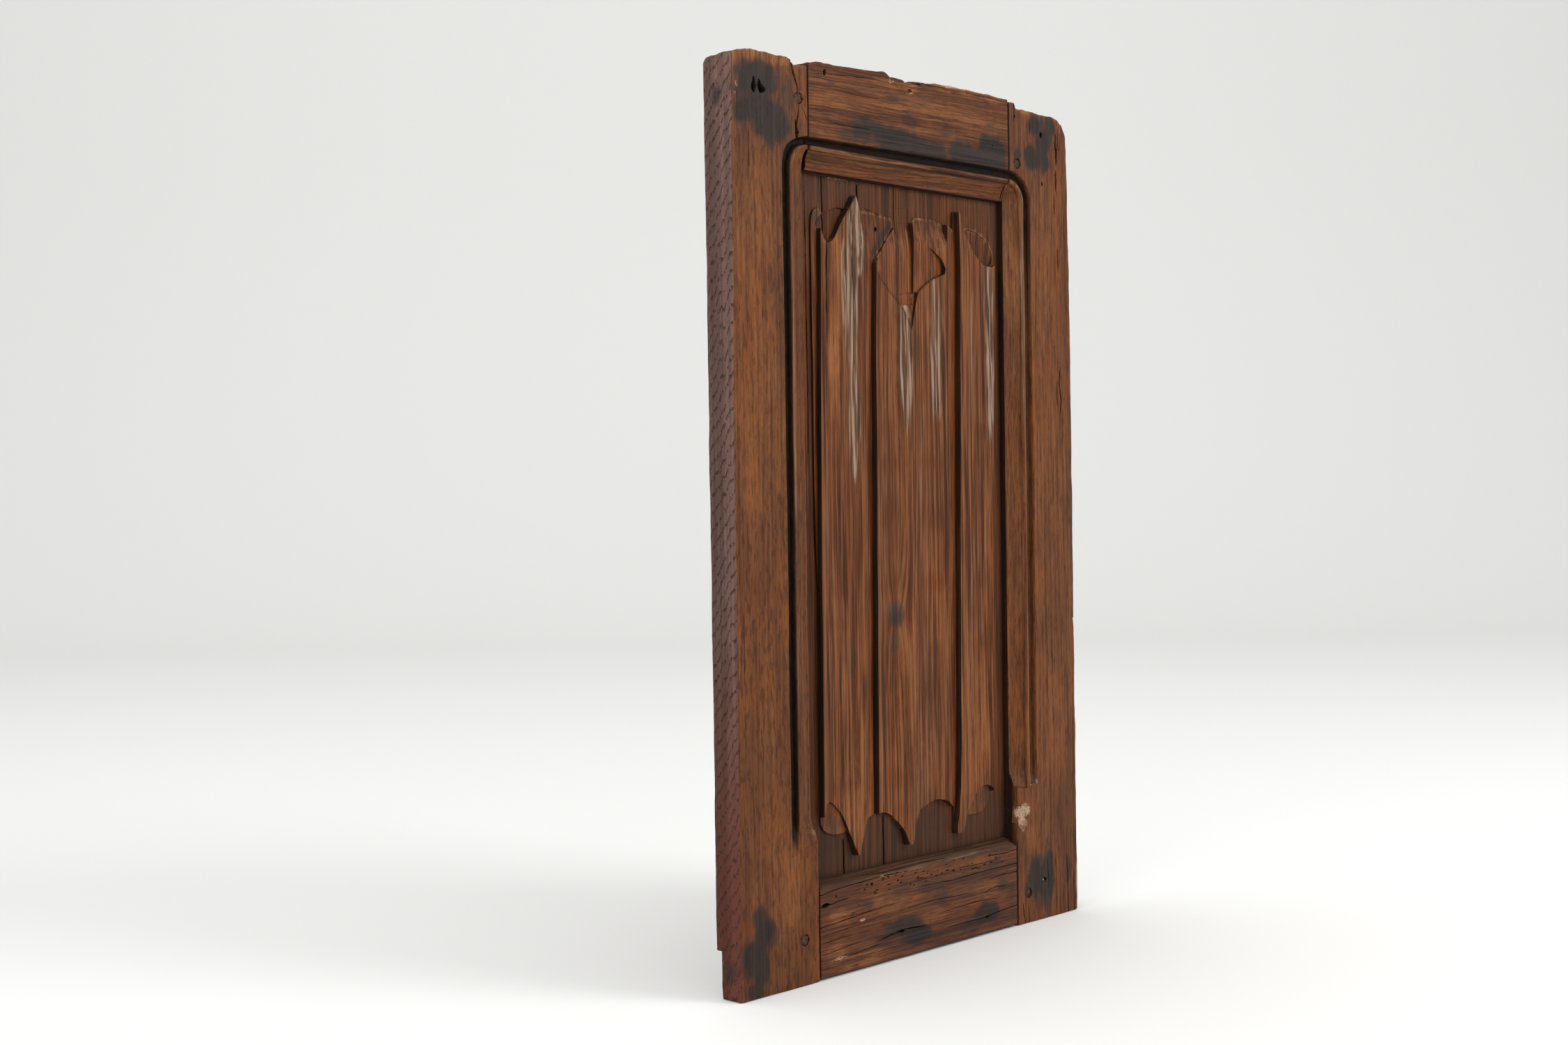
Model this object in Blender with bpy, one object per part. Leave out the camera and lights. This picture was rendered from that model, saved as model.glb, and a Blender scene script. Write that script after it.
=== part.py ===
"""Framed parchemin panel in oak: two stiles, two rails, four pegs and one carved board.

The frame is 0.47 m wide and 0.80 m high. Its front faces -Y and it stands on the feet of its
stiles. The origin is at the centre of the underside. Lengths are in metres. Places on the frame
are measured from its left outer edge and from the underside, depths from the front face.
"""
import math

import bmesh
import bpy
from mathutils import Matrix, Vector

MM = 0.001

# Frame
FRAME_WIDTH = 474 * MM
STILE_HEIGHT = 800 * MM
STOCK_THICKNESS = 30 * MM
LEFT_STILE_WIDTH = 96.6 * MM
RIGHT_STILE_WIDTH = 98.4 * MM
RIGHT_EDGE_LEAN = 5.5 * MM  # the right stile is narrower at its top by this much
TOP_RAIL_HEIGHT = 101 * MM
TOP_RAIL_RISE = 5 * MM  # how far the rail stands above the stiles
BOTTOM_RAIL_HEIGHT = 84 * MM
BOTTOM_RAIL_LIFT = 2 * MM  # how far the rail stays above the floor
SHELF_RISE = 2.5 * MM  # the bottom rail's upper edge rises by this from front to board
JOINT_GAP = 0.3 * MM
CUT_CLEARANCE = 3 * MM  # how far a cutter runs past the face it cuts through

# Worn upper ends: share of the piece's length from left to right, and height above its nominal end
LEFT_STILE_WEAR = [(0.0, -8.0), (0.04, -3.0), (0.145, -0.5), (0.29, 2.5), (0.787, 1.0), (1.0, 1.0)]
RIGHT_STILE_WEAR = [(0.0, -2.0), (0.752, -3.5), (0.903, -8.0), (0.968, -15.0), (1.0, -26.0)]
TOP_RAIL_WEAR = [(0.0, -3.7), (0.13, -1.2), (0.38, 1.9), (0.395, -2.4), (0.68, 1.8), (1.0, 0.0)]

# Mortises, tenons, pegs and nail
TENON_LENGTH = 60 * MM
TENON_THICKNESS = 8 * MM
TENON_DEPTH = 12 * MM  # from the front face to the tenon's front cheek
TENON_SHOULDER = 4 * MM  # from the board's groove to the tenon
TENON_HAUNCH = 19 * MM  # from the top rail's upper edge to its tenons
BOTTOM_TENON_RISE = 12 * MM  # from the bottom rail's underside to its tenons
PEG_DIAMETER = 10 * MM
PEG_RECESS = 0.4 * MM
PEG_SIDES = 20
TOP_PEG_RISE = {"left": 64 * MM, "right": 40 * MM}  # above the top rail's lower edge
BOTTOM_PEG_RISE = {"left": 38 * MM, "right": 28 * MM}  # above the bottom rail's underside
PEG_SETBACK = {"top_left": 12 * MM, "top_right": 12 * MM, "bottom_left": 19 * MM, "bottom_right": 16 * MM}
NAIL_DIAMETER = 3.6 * MM
NAIL_SIDES = 12
NAIL_LENGTH = 9 * MM
NAIL_SETBACK = 42 * MM  # from the right stile's inner edge
NAIL_RISE = 39.5 * MM

# Moulding of the stiles and the top rail, from the flat face inwards
QUIRK_WIDTH = 7 * MM
QUIRK_DEPTH = 5 * MM
BEAD_WIDTH = 8 * MM
BEAD_STEP = 4.2 * MM  # depth of the fillet below the bead
HOLLOW_WIDTH = 18 * MM
SIGHT_DEPTH = 9.5 * MM  # depth of the moulding at the sight edge
MITRE_STEPS = 8
LEFT_STOP_RISE = 36 * MM  # height of the moulding's stop above the bottom rail
RIGHT_STOP_RISE = 50 * MM
BEAD_CROWN = 0.8 * MM  # depth of the bead's top below the face
BEAD_STEPS = 5
STOP_SLANT = 0.35  # rise of the stop per unit of moulding width

# Board and groove
GROOVE_DEPTH = 8 * MM
BOARD_PLAY = 1 * MM  # room left for the board at the bottom of each groove
GROUND_DEPTH = 16.2 * MM
BOARD_BACK_DEPTH = 24.5 * MM

# Carving: the folds, laid out on the sight opening and scaled with it
LAYOUT_WIDTH = 279
LAYOUT_HEIGHT = 616
CREST_DEPTH = 8.3 * MM
RIM_DEPTH = 8.9 * MM
FOLD_FOOT_DEPTH = 14.6 * MM
HOLLOW_SAG = 3.4 * MM
FOLD_STEPS = 8
FOLD_MARGIN = 4.0  # from the layout's ends to where the folds' solid is cut square
FOLD_WALL = 0.5  # slope of the folds' side walls across the layout
FOLD_ROOT = 1 * MM  # how far the folds' solid reaches below the ground
SCOOP_SINK = 1.8 * MM  # how far the scoops at the ends go below the ground
LEAF_FRONT_DEPTH = 11 * MM  # depth of the leaf at its wall
LEAF_TIP_DEPTH = 13.8 * MM  # depth of the leaf's right tip
LEAF_FOOT_DEPTH = 12.8 * MM  # depth of the leaf's left half at its foot
LEAF_LIP = 0.3 * MM  # what is left of the fold's end above the leaf
LEDGE_DEPTH = 14 * MM

# Losses
FOOT_LOSS_HEIGHT = 41 * MM
FOOT_LOSS_DEPTH = 7 * MM
FOOT_LOSS_WIDTH = 30 * MM

OPENING_WIDTH = FRAME_WIDTH - LEFT_STILE_WIDTH - RIGHT_STILE_WIDTH
OPENING_FOOT = BOTTOM_RAIL_LIFT + BOTTOM_RAIL_HEIGHT
OPENING_TOP = STILE_HEIGHT + TOP_RAIL_RISE - TOP_RAIL_HEIGHT
OPENING_HEIGHT = OPENING_TOP - OPENING_FOOT
MOULD_WIDTH = QUIRK_WIDTH + BEAD_WIDTH + HOLLOW_WIDTH
LEFT_SIGHT = LEFT_STILE_WIDTH
RIGHT_SIGHT = FRAME_WIDTH - RIGHT_STILE_WIDTH

OAK_FRAME = (0.150, 0.068, 0.032)
OAK_BOARD = (0.178, 0.078, 0.034)
OAK_PEG = (0.105, 0.050, 0.026)
OLD_IRON = (0.060, 0.050, 0.045)


def place(across, depth, rise):
    """A point from its distances to the left edge, the front face and the underside."""
    return Vector((across - FRAME_WIDTH / 2, depth - STOCK_THICKNESS / 2, rise))


def oak(name, color, roughness, metallic=0.0):
    material = bpy.data.materials.new(name)
    material.use_nodes = True
    shader = material.node_tree.nodes["Principled BSDF"]
    shader.inputs["Base Color"].default_value = (*color, 1.0)
    shader.inputs["Roughness"].default_value = roughness
    shader.inputs["Metallic"].default_value = metallic
    return material


def finish(name, bm, material=None):
    """Make an object of a bmesh. Without a material it is a hidden shape that cuts or adds."""
    bmesh.ops.recalc_face_normals(bm, faces=bm.faces)
    mesh = bpy.data.meshes.new(name)
    bm.to_mesh(mesh)
    bm.free()
    obj = bpy.data.objects.new(name, mesh)
    bpy.context.scene.collection.objects.link(obj)
    if material:
        mesh.materials.append(material)
    else:
        obj.hide_render = True
        obj.display_type = "WIRE"
    return obj


def combine(target, other, operation):
    modifier = target.modifiers.new(other.name, "BOOLEAN")
    modifier.operation = operation
    modifier.solver = "EXACT"
    modifier.object = other


def box(across, depth, rise):
    """A block between the pairs of distances given for each direction."""
    low = place(across[0], depth[0], rise[0])
    high = place(across[1], depth[1], rise[1])
    bm = bmesh.new()
    bmesh.ops.create_cube(bm, size=1.0)
    bmesh.ops.scale(bm, vec=high - low, verts=bm.verts)
    bmesh.ops.translate(bm, vec=(low + high) / 2, verts=bm.verts)
    return bm


def plate(outline, front, back):
    """An outline in the plane of the panel made thick. Its front and back may be functions."""
    bm = bmesh.new()
    near = [bm.verts.new(place(a, 0, r)) for a, r in outline]
    face = bm.faces.new(near)
    grown = bmesh.ops.extrude_face_region(bm, geom=[face])
    far = [item for item in grown["geom"] if isinstance(item, bmesh.types.BMVert)]
    for verts, depth in ((near, front), (far, back)):
        for vert in verts:
            across = vert.co.x + FRAME_WIDTH / 2
            rise = vert.co.z
            value = depth(across, rise) if callable(depth) else depth
            vert.co = place(across, value, rise)
    return bm


def rod(diameter, across, rise, front, back, sides):
    bm = bmesh.new()
    bmesh.ops.create_cone(bm, cap_ends=True, segments=sides, radius1=diameter / 2,
                          radius2=diameter / 2, depth=back - front)
    bmesh.ops.rotate(bm, cent=(0, 0, 0), matrix=Matrix.Rotation(math.pi / 2, 3, "X"), verts=bm.verts)
    bmesh.ops.translate(bm, vec=place(across, (front + back) / 2, rise), verts=bm.verts)
    return bm


def skin(sections):
    """A closed solid through sections that all have the same number of points."""
    bm = bmesh.new()
    rings = [[bm.verts.new(point) for point in section] for section in sections]
    for lower, upper in zip(rings, rings[1:]):
        for index in range(len(lower)):
            after = (index + 1) % len(lower)
            bm.faces.new((lower[index], lower[after], upper[after], upper[index]))
    bm.faces.new(rings[0])
    bm.faces.new(rings[-1][::-1])
    bmesh.ops.remove_doubles(bm, verts=bm.verts, dist=0.001 * MM)
    bmesh.ops.dissolve_degenerate(bm, edges=bm.edges, dist=0.001 * MM)
    return bm


def moulding_profile():
    """Pairs of distance from the sight edge and depth, from the sight edge to the flat face."""
    hollow = [(HOLLOW_WIDTH * t, BEAD_STEP + (SIGHT_DEPTH - BEAD_STEP) * math.cos(t * math.pi / 2))
              for t in (0.0, 0.3, 0.55, 0.8, 1.0)]
    radius = BEAD_WIDTH / 2
    bead = []
    for step in range(BEAD_STEPS + 1):
        angle = math.pi * (0.04 + 0.92 * step / BEAD_STEPS)
        bead.append((HOLLOW_WIDTH + radius - radius * math.cos(angle),
                     BEAD_STEP - (BEAD_STEP - BEAD_CROWN) * math.sin(angle)))
    quirk = [(HOLLOW_WIDTH + BEAD_WIDTH + 0.2 * QUIRK_WIDTH, QUIRK_DEPTH),
             (MOULD_WIDTH - 0.15 * QUIRK_WIDTH, QUIRK_DEPTH),
             (MOULD_WIDTH, 0.0)]
    return hollow + bead + quirk


def moulding_cutter():
    """The moulding's hollow form, up the left stile, round both mitres and down the right."""
    profile = moulding_profile()
    section = profile + [(MOULD_WIDTH, -CUT_CLEARANCE), (0.0, -CUT_CLEARANCE)]
    left = LEFT_SIGHT + JOINT_GAP
    right = RIGHT_SIGHT - JOINT_GAP
    top = OPENING_TOP - JOINT_GAP
    stations = [(left, OPENING_FOOT + LEFT_STOP_RISE, math.pi, STOP_SLANT)]
    for step in range(MITRE_STEPS + 1):
        stations.append((left, top, math.pi - step * math.pi / 2 / MITRE_STEPS, 0.0))
    for step in range(MITRE_STEPS + 1):
        stations.append((right, top, math.pi / 2 * (1 - step / MITRE_STEPS), 0.0))
    stations.append((right, OPENING_FOOT + RIGHT_STOP_RISE, 0.0, STOP_SLANT))
    sections = []
    for across, rise, angle, slant in stations:
        sections.append([place(across + d * math.cos(angle), depth,
                               rise + d * math.sin(angle) + slant * (d - MOULD_WIDTH))
                         for d, depth in section])
    return finish("cut_moulding", skin(sections))


def peg_places():
    """Corner, distance across and rise of each peg."""
    return [
        ("top_left", LEFT_SIGHT - PEG_SETBACK["top_left"], OPENING_TOP + TOP_PEG_RISE["left"]),
        ("top_right", RIGHT_SIGHT + PEG_SETBACK["top_right"], OPENING_TOP + TOP_PEG_RISE["right"]),
        ("bottom_left", LEFT_SIGHT - PEG_SETBACK["bottom_left"],
         BOTTOM_RAIL_LIFT + BOTTOM_PEG_RISE["left"]),
        ("bottom_right", RIGHT_SIGHT + PEG_SETBACK["bottom_right"],
         BOTTOM_RAIL_LIFT + BOTTOM_PEG_RISE["right"]),
    ]


def tenon_bar(name, rise, grow):
    """The bar that runs through a rail and ends as its tenons, or with grow its mortises."""
    reach = TENON_LENGTH + grow
    return finish(name, box((LEFT_SIGHT - reach, RIGHT_SIGHT + reach),
                            (TENON_DEPTH - grow, TENON_DEPTH + TENON_THICKNESS + grow),
                            (rise[0] - grow, rise[1] + grow)))


def top_tenon_rise():
    return (OPENING_TOP + GROOVE_DEPTH + TENON_SHOULDER, OPENING_TOP + TOP_RAIL_HEIGHT - TENON_HAUNCH)


def bottom_tenon_rise():
    return (BOTTOM_RAIL_LIFT + BOTTOM_TENON_RISE, OPENING_FOOT - GROOVE_DEPTH - TENON_SHOULDER)


def worn_end(wear, left, right, top):
    """The upper edge of a stile or rail, from its right end to its left end."""
    return [(left + share * (right - left), top + rise * MM) for share, rise in reversed(wear)]


def build_stiles(frame_oak, shared, holes):
    outline = [(LEFT_STILE_WIDTH, 0.0)] + worn_end(LEFT_STILE_WEAR, 0.0, LEFT_STILE_WIDTH, STILE_HEIGHT)
    outline.append((0.0, 0.0))
    left = finish("left_stile", plate(outline, 0.0, STOCK_THICKNESS), frame_oak)

    edge = FRAME_WIDTH - RIGHT_EDGE_LEAN
    outline = [(FRAME_WIDTH, 0.0), (FRAME_WIDTH - 0.2 * RIGHT_EDGE_LEAN, STILE_HEIGHT / 2)]
    outline += worn_end(RIGHT_STILE_WEAR, RIGHT_SIGHT, edge, STILE_HEIGHT)
    outline.append((RIGHT_SIGHT, 0.0))
    right = finish("right_stile", plate(outline, 0.0, STOCK_THICKNESS), frame_oak)

    loss = finish("cut_foot_loss", plate(
        [(-CUT_CLEARANCE, -CUT_CLEARANCE), (FOOT_LOSS_WIDTH + CUT_CLEARANCE, -CUT_CLEARANCE),
         (0.5 * FOOT_LOSS_WIDTH, 0.7 * FOOT_LOSS_HEIGHT), (0.3 * FOOT_LOSS_WIDTH, FOOT_LOSS_HEIGHT),
         (-CUT_CLEARANCE, FOOT_LOSS_HEIGHT)],
        lambda across, rise: STOCK_THICKNESS - FOOT_LOSS_DEPTH * (1 - across / FOOT_LOSS_WIDTH),
        STOCK_THICKNESS + CUT_CLEARANCE))
    combine(left, loss, "DIFFERENCE")
    nail_hole = finish("cut_nail", rod(NAIL_DIAMETER + 2 * JOINT_GAP, RIGHT_SIGHT + NAIL_SETBACK, NAIL_RISE,
                                       -CUT_CLEARANCE, NAIL_LENGTH + 2 * JOINT_GAP, NAIL_SIDES))
    combine(right, nail_hole, "DIFFERENCE")
    for stile, side in ((left, "left"), (right, "right")):
        for cutter in [holes["top_" + side], holes["bottom_" + side]] + shared:
            combine(stile, cutter, "DIFFERENCE")


def build_rails(frame_oak, moulding, groove, holes):
    left = LEFT_SIGHT + JOINT_GAP
    right = RIGHT_SIGHT - JOINT_GAP
    outline = [(left, OPENING_TOP), (right, OPENING_TOP)]
    outline += worn_end(TOP_RAIL_WEAR, left, right, OPENING_TOP + TOP_RAIL_HEIGHT)
    top = finish("top_rail", plate(outline, 0.0, STOCK_THICKNESS), frame_oak)
    combine(top, tenon_bar("add_top_tenons", top_tenon_rise(), 0.0), "UNION")
    combine(top, moulding, "DIFFERENCE")

    bottom = finish("bottom_rail", box((left, right), (0.0, STOCK_THICKNESS), (BOTTOM_RAIL_LIFT, OPENING_FOOT)),
                    frame_oak)
    shelf = finish("cut_shelf", skin([
        [place(across, -CUT_CLEARANCE, OPENING_FOOT - SHELF_RISE * (1 + CUT_CLEARANCE / GROUND_DEPTH)),
         place(across, GROUND_DEPTH, OPENING_FOOT),
         place(across, GROUND_DEPTH, OPENING_FOOT + CUT_CLEARANCE),
         place(across, -CUT_CLEARANCE, OPENING_FOOT + CUT_CLEARANCE)]
        for across in (left - CUT_CLEARANCE, right + CUT_CLEARANCE)]))
    combine(bottom, shelf, "DIFFERENCE")
    combine(bottom, tenon_bar("add_bottom_tenons", bottom_tenon_rise(), 0.0), "UNION")
    for rail, level in ((top, "top"), (bottom, "bottom")):
        for cutter in (groove, holes[level + "_left"], holes[level + "_right"]):
            combine(rail, cutter, "DIFFERENCE")


def carve(u, w):
    """A point of the carving's layout, in millimetres from the foot of the left sight edge."""
    return (LEFT_SIGHT + OPENING_WIDTH * u / LAYOUT_WIDTH, OPENING_FOOT + OPENING_HEIGHT * w / LAYOUT_HEIGHT)


def fold_section(high):
    """The folds' front line from left to right at the top or the foot of the carving."""
    end = 0 if high else 1
    lines = {"outer_left": (19.5, 17.0), "ridge_left": (77.5, 72.5), "inner_left": (94.0, 88.5),
             "centre": (142.5, 134.5), "inner_right": (192.0, 187.5), "ridge_right": (210.5, 205.0),
             "outer_right": (259.5, 255.0)}
    at = {name: ends[end] for name, ends in lines.items()}
    folds = [("outer_left", "ridge_left", RIM_DEPTH, CREST_DEPTH, 0.65),
             ("inner_left", "centre", RIM_DEPTH, CREST_DEPTH, 0.8),
             ("centre", "inner_right", CREST_DEPTH, RIM_DEPTH, 1.35),
             ("ridge_right", "outer_right", CREST_DEPTH, RIM_DEPTH, 1.55)]
    points = [(at["outer_left"] - FOLD_WALL, GROUND_DEPTH + FOLD_ROOT)]
    for start, stop, start_depth, stop_depth, skew in folds:
        if start in ("inner_left", "ridge_right"):
            points.append((at[start] - FOLD_WALL, FOLD_FOOT_DEPTH))
        for step in range(FOLD_STEPS + 1):
            t = step / FOLD_STEPS
            if start == "centre" and step == 0:
                continue
            depth = start_depth + (stop_depth - start_depth) * t
            depth += HOLLOW_SAG * math.sin(math.pi * t ** skew)
            points.append((at[start] + (at[stop] - at[start]) * t, depth))
    points.append((at["outer_right"] + FOLD_WALL, GROUND_DEPTH + FOLD_ROOT))
    return points


def fold_ends():
    """The outline that the folds are cut to: the upper ends left to right, then the feet back."""
    upper = [(8, 574), (19, 574), (25.4, 570), (30.4, 562.5), (37.4, 561), (43, 564.5), (51.3, 578),
             (58.8, 589.5), (68.4, 604.5), (73, 597), (79.4, 591.5), (99.4, 592), (117.4, 589),
             (126, 585.5), (147, 586.5), (156, 592.5), (168, 593), (180, 592.5), (194, 589.5),
             (207.4, 585.5), (208.4, 604.5), (211, 604.5), (223, 586), (230.2, 573), (238, 564),
             (249, 559.5), (257, 558), (262, 562), (271, 565)]
    lower = [(271, 49), (256, 49), (252.4, 54), (244.5, 55.8), (234.4, 52), (222.4, 41.5), (215, 32.5),
             (209, 15.6), (199.5, 15.6), (199.5, 41), (193.4, 44), (184.4, 49), (172, 51), (154, 47),
             (145.4, 45), (139.4, 31), (132.4, 15.6), (124, 17), (120.9, 30), (109.4, 44.5),
             (96.4, 49), (84, 48), (74.4, 45), (68, 32), (63, 15.2), (60.5, 15.2), (52.4, 34.6),
             (43.4, 53), (33.4, 64), (27.4, 67.5), (22.5, 66), (20, 60), (16.4, 54), (8, 54)]
    return upper + lower


def leaf_cutters(ground):
    """The hollows at the fold ends: name, outline in the layout, and the depth of their floor."""
    def slope(start, stop, near, far):
        ax, az = carve(*start)
        bx, bz = carve(*stop)
        length = (bx - ax) ** 2 + (bz - az) ** 2

        def depth(across, rise):
            t = ((across - ax) * (bx - ax) + (rise - az) * (bz - az)) / length
            return near + (far - near) * t
        return depth

    sunk = ground + SCOOP_SINK
    return [
        # beside the upper end of the left middle fold
        ("bevel", [(88.5, 549.5), (94, 551), (122, 580), (125.5, 587), (88.5, 596)], FOLD_FOOT_DEPTH),
        # the leaf left of its wall
        ("leaf_left", [(123, 577.5), (100, 553.5), (104.2, 540), (110.2, 534.5), (126, 520), (131, 518),
                       (147.5, 518), (147.5, 600), (123, 600)],
         slope((130, 518), (130, 600), LEAF_FOOT_DEPTH, ground - LEAF_LIP)),
        # the leaf right of its wall
        ("leaf_right", [(147, 518), (156.5, 526), (173.9, 536), (191.6, 543), (192.4, 548.5),
                        (186, 559), (168, 569.5), (157, 575), (147, 589)],
         slope((147, 560), (192, 550), LEAF_FRONT_DEPTH, LEAF_TIP_DEPTH)),
        # the notch at the leaf's stem
        ("stem", [(142.4, 489), (151, 519), (130, 519)],
         slope((142.4, 489), (142.4, 519), CREST_DEPTH, LEAF_FOOT_DEPTH)),
        # the scoops outside the outer folds
        ("scoop_left", [(19, 575), (25.7, 570.6), (30.9, 563.2), (37.2, 561.8), (42.6, 565.1), (50.8, 578.4),
                        (60.3, 593), (50, 593), (34, 588), (24, 582)],
         slope((30, 592), (48, 572), ground, sunk)),
        ("scoop_right", [(223.5, 586.4), (230.7, 573.4), (238.4, 564.6), (249.2, 560.2), (257, 558.7),
                         (261.5, 562.4), (262, 571), (255, 580), (245, 586), (232, 588.5)],
         slope((255, 585), (235, 566), ground, sunk)),
    ]


def build_board(board_oak):
    inset = GROOVE_DEPTH - BOARD_PLAY
    board = finish("carved_panel", box(
        (LEFT_SIGHT - inset, RIGHT_SIGHT + inset), (GROUND_DEPTH, BOARD_BACK_DEPTH),
        (OPENING_FOOT - inset, OPENING_TOP + inset)), board_oak)

    sections = []
    for high, w in ((False, FOLD_MARGIN), (True, LAYOUT_HEIGHT - FOLD_MARGIN)):
        ring = []
        for u, depth in fold_section(high):
            across, rise = carve(u, w)
            ring.append(place(across, depth, rise))
        sections.append(ring)
    folds = finish("add_folds", skin(sections))
    ends = finish("cut_fold_ends", plate([carve(u, w) for u, w in fold_ends()],
                                         CREST_DEPTH - CUT_CLEARANCE, GROUND_DEPTH + CUT_CLEARANCE))
    combine(folds, ends, "INTERSECT")
    combine(board, folds, "UNION")

    ledges = {
        "left": [(17.4, 53), (20, 44), (27.4, 39), (40, 36.5), (50, 38), (53, 44), (43, 70), (23, 70)],
        "right": [(209, 29), (224, 29.5), (240.4, 30), (248.4, 36), (256, 46), (253, 60), (236, 58),
                  (214, 36)],
    }
    for side, outline in ledges.items():
        ledge = finish("add_ledge_" + side, plate([carve(u, w) for u, w in outline], LEDGE_DEPTH,
                                                  GROUND_DEPTH + FOLD_ROOT))
        combine(board, ledge, "UNION")
    for name, outline, floor in leaf_cutters(GROUND_DEPTH):
        cutter = finish("cut_" + name, plate([carve(u, w) for u, w in outline],
                                             CREST_DEPTH - CUT_CLEARANCE, floor))
        combine(board, cutter, "DIFFERENCE")
    return board


def build():
    for obj in list(bpy.data.objects):
        bpy.data.objects.remove(obj)
    frame_oak = oak("weathered_oak", OAK_FRAME, 0.62)
    board_oak = oak("carved_oak", OAK_BOARD, 0.58)
    peg_oak = oak("oak_peg", OAK_PEG, 0.7)
    iron = oak("old_iron", OLD_IRON, 0.65, 0.8)

    moulding = moulding_cutter()
    lip = GROUND_DEPTH - JOINT_GAP, BOARD_BACK_DEPTH + JOINT_GAP
    groove = finish("cut_groove", box((LEFT_SIGHT - GROOVE_DEPTH, RIGHT_SIGHT + GROOVE_DEPTH), lip,
                                      (OPENING_FOOT - GROOVE_DEPTH, OPENING_TOP + GROOVE_DEPTH)))
    holes = {corner: finish("cut_peg_" + corner, rod(
        PEG_DIAMETER + 2 * JOINT_GAP, across, rise, -CUT_CLEARANCE, STOCK_THICKNESS + CUT_CLEARANCE, PEG_SIDES))
        for corner, across, rise in peg_places()}
    mortises = [tenon_bar("cut_top_mortises", top_tenon_rise(), JOINT_GAP),
                tenon_bar("cut_bottom_mortises", bottom_tenon_rise(), JOINT_GAP)]

    build_stiles(frame_oak, mortises + [groove, moulding], holes)
    build_rails(frame_oak, moulding, groove, holes)
    build_board(board_oak)
    for corner, across, rise in peg_places():
        peg = finish("peg_" + corner, rod(PEG_DIAMETER, across, rise, PEG_RECESS, STOCK_THICKNESS - PEG_RECESS,
                               PEG_SIDES), peg_oak)
        peg.data.shade_smooth()
        peg.data.set_sharp_from_angle(angle=math.radians(40))
    nail = finish("nail_stub", rod(NAIL_DIAMETER, RIGHT_SIGHT + NAIL_SETBACK, NAIL_RISE, PEG_RECESS,
                                   NAIL_LENGTH, NAIL_SIDES), iron)
    nail.data.shade_smooth()
    nail.data.set_sharp_from_angle(angle=math.radians(40))


build()
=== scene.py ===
import math

import bmesh
import bpy
import numpy as np
from mathutils import Matrix, Vector, geometry


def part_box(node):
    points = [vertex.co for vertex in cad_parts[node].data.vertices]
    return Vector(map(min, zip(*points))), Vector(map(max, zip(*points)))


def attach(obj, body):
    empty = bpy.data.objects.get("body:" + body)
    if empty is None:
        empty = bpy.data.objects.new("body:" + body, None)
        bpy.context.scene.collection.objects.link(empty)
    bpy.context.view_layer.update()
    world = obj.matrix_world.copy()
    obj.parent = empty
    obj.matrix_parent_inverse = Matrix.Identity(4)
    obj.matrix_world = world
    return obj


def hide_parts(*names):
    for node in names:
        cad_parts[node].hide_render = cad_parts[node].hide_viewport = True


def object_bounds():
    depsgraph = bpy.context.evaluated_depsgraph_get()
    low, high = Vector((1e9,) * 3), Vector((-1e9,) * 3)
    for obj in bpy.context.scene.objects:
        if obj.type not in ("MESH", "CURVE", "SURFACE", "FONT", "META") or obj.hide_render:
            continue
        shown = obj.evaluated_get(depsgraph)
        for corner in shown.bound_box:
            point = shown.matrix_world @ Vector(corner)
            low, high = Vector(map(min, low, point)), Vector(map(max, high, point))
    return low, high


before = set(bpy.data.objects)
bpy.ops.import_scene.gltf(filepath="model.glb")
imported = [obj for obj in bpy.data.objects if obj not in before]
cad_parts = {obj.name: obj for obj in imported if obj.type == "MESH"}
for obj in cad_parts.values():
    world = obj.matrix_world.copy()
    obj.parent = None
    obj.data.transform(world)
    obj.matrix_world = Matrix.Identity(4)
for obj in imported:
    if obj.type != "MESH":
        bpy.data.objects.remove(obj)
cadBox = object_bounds()
print("frame loaded")

# Pieces are shaped in millimetres: across from the panel's left edge, deep from its front face, up
# from its underside. They go to the scene's metres when they are finished.
metre = 0.001
toScene = Matrix.Translation(cadBox[0]) @ Matrix.Scale(metre, 4)


def nodeSpan(node):  # the node's low and high along across, deep and up
    low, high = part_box(node)
    return [tuple((corner[axis] - cadBox[0][axis]) / metre for corner in (low, high)) for axis in range(3)]


spans = {node: nodeSpan(node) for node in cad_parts}
leftSight = spans["left_stile"][0][1]
rightSight = spans["right_stile"][0][0]
openingFoot = spans["bottom_rail"][2][1]
openingTop = spans["top_rail"][2][0]
thickness = spans["left_stile"][1][1]
stileHeight = 800.0
tableSeed = np.random.RandomState(7)
noiseTable = tableSeed.rand(4096)
shapes = []  # cutters and added shapes, removed at the end


# Noise and masks

def wander(across, deep, up, seed=0):  # smooth noise from -1 to 1, in cells of one unit
    places = [np.asarray(value, dtype=float) for value in (across, deep, up)]
    cells = [np.floor(value).astype(np.int64) for value in places]
    parts = [value - cell for value, cell in zip(places, cells)]
    parts = [part * part * (3 - 2 * part) for part in parts]
    total = 0.0
    for corner in range(8):
        offsets = (corner & 1, corner >> 1 & 1, corner >> 2)
        key = np.int64(seed * 7919)
        weight = 1.0
        for cell, part, offset, prime in zip(cells, parts, offsets, (73856093, 19349663, 83492791)):
            key = key ^ ((cell + offset) * prime)
            weight = weight * (part if offset else 1 - part)
        key = (key * 2654435761) & 0xFFFFFFFFFFFF
        total = total + weight * noiseTable[(key >> 19) & 4095]
    return 2 * total - 1


def ease(value, low, high):  # 0 below low, 1 above high, smooth between
    t = np.clip((value - low) / (high - low), 0, 1)
    return t * t * (3 - 2 * t)


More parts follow.
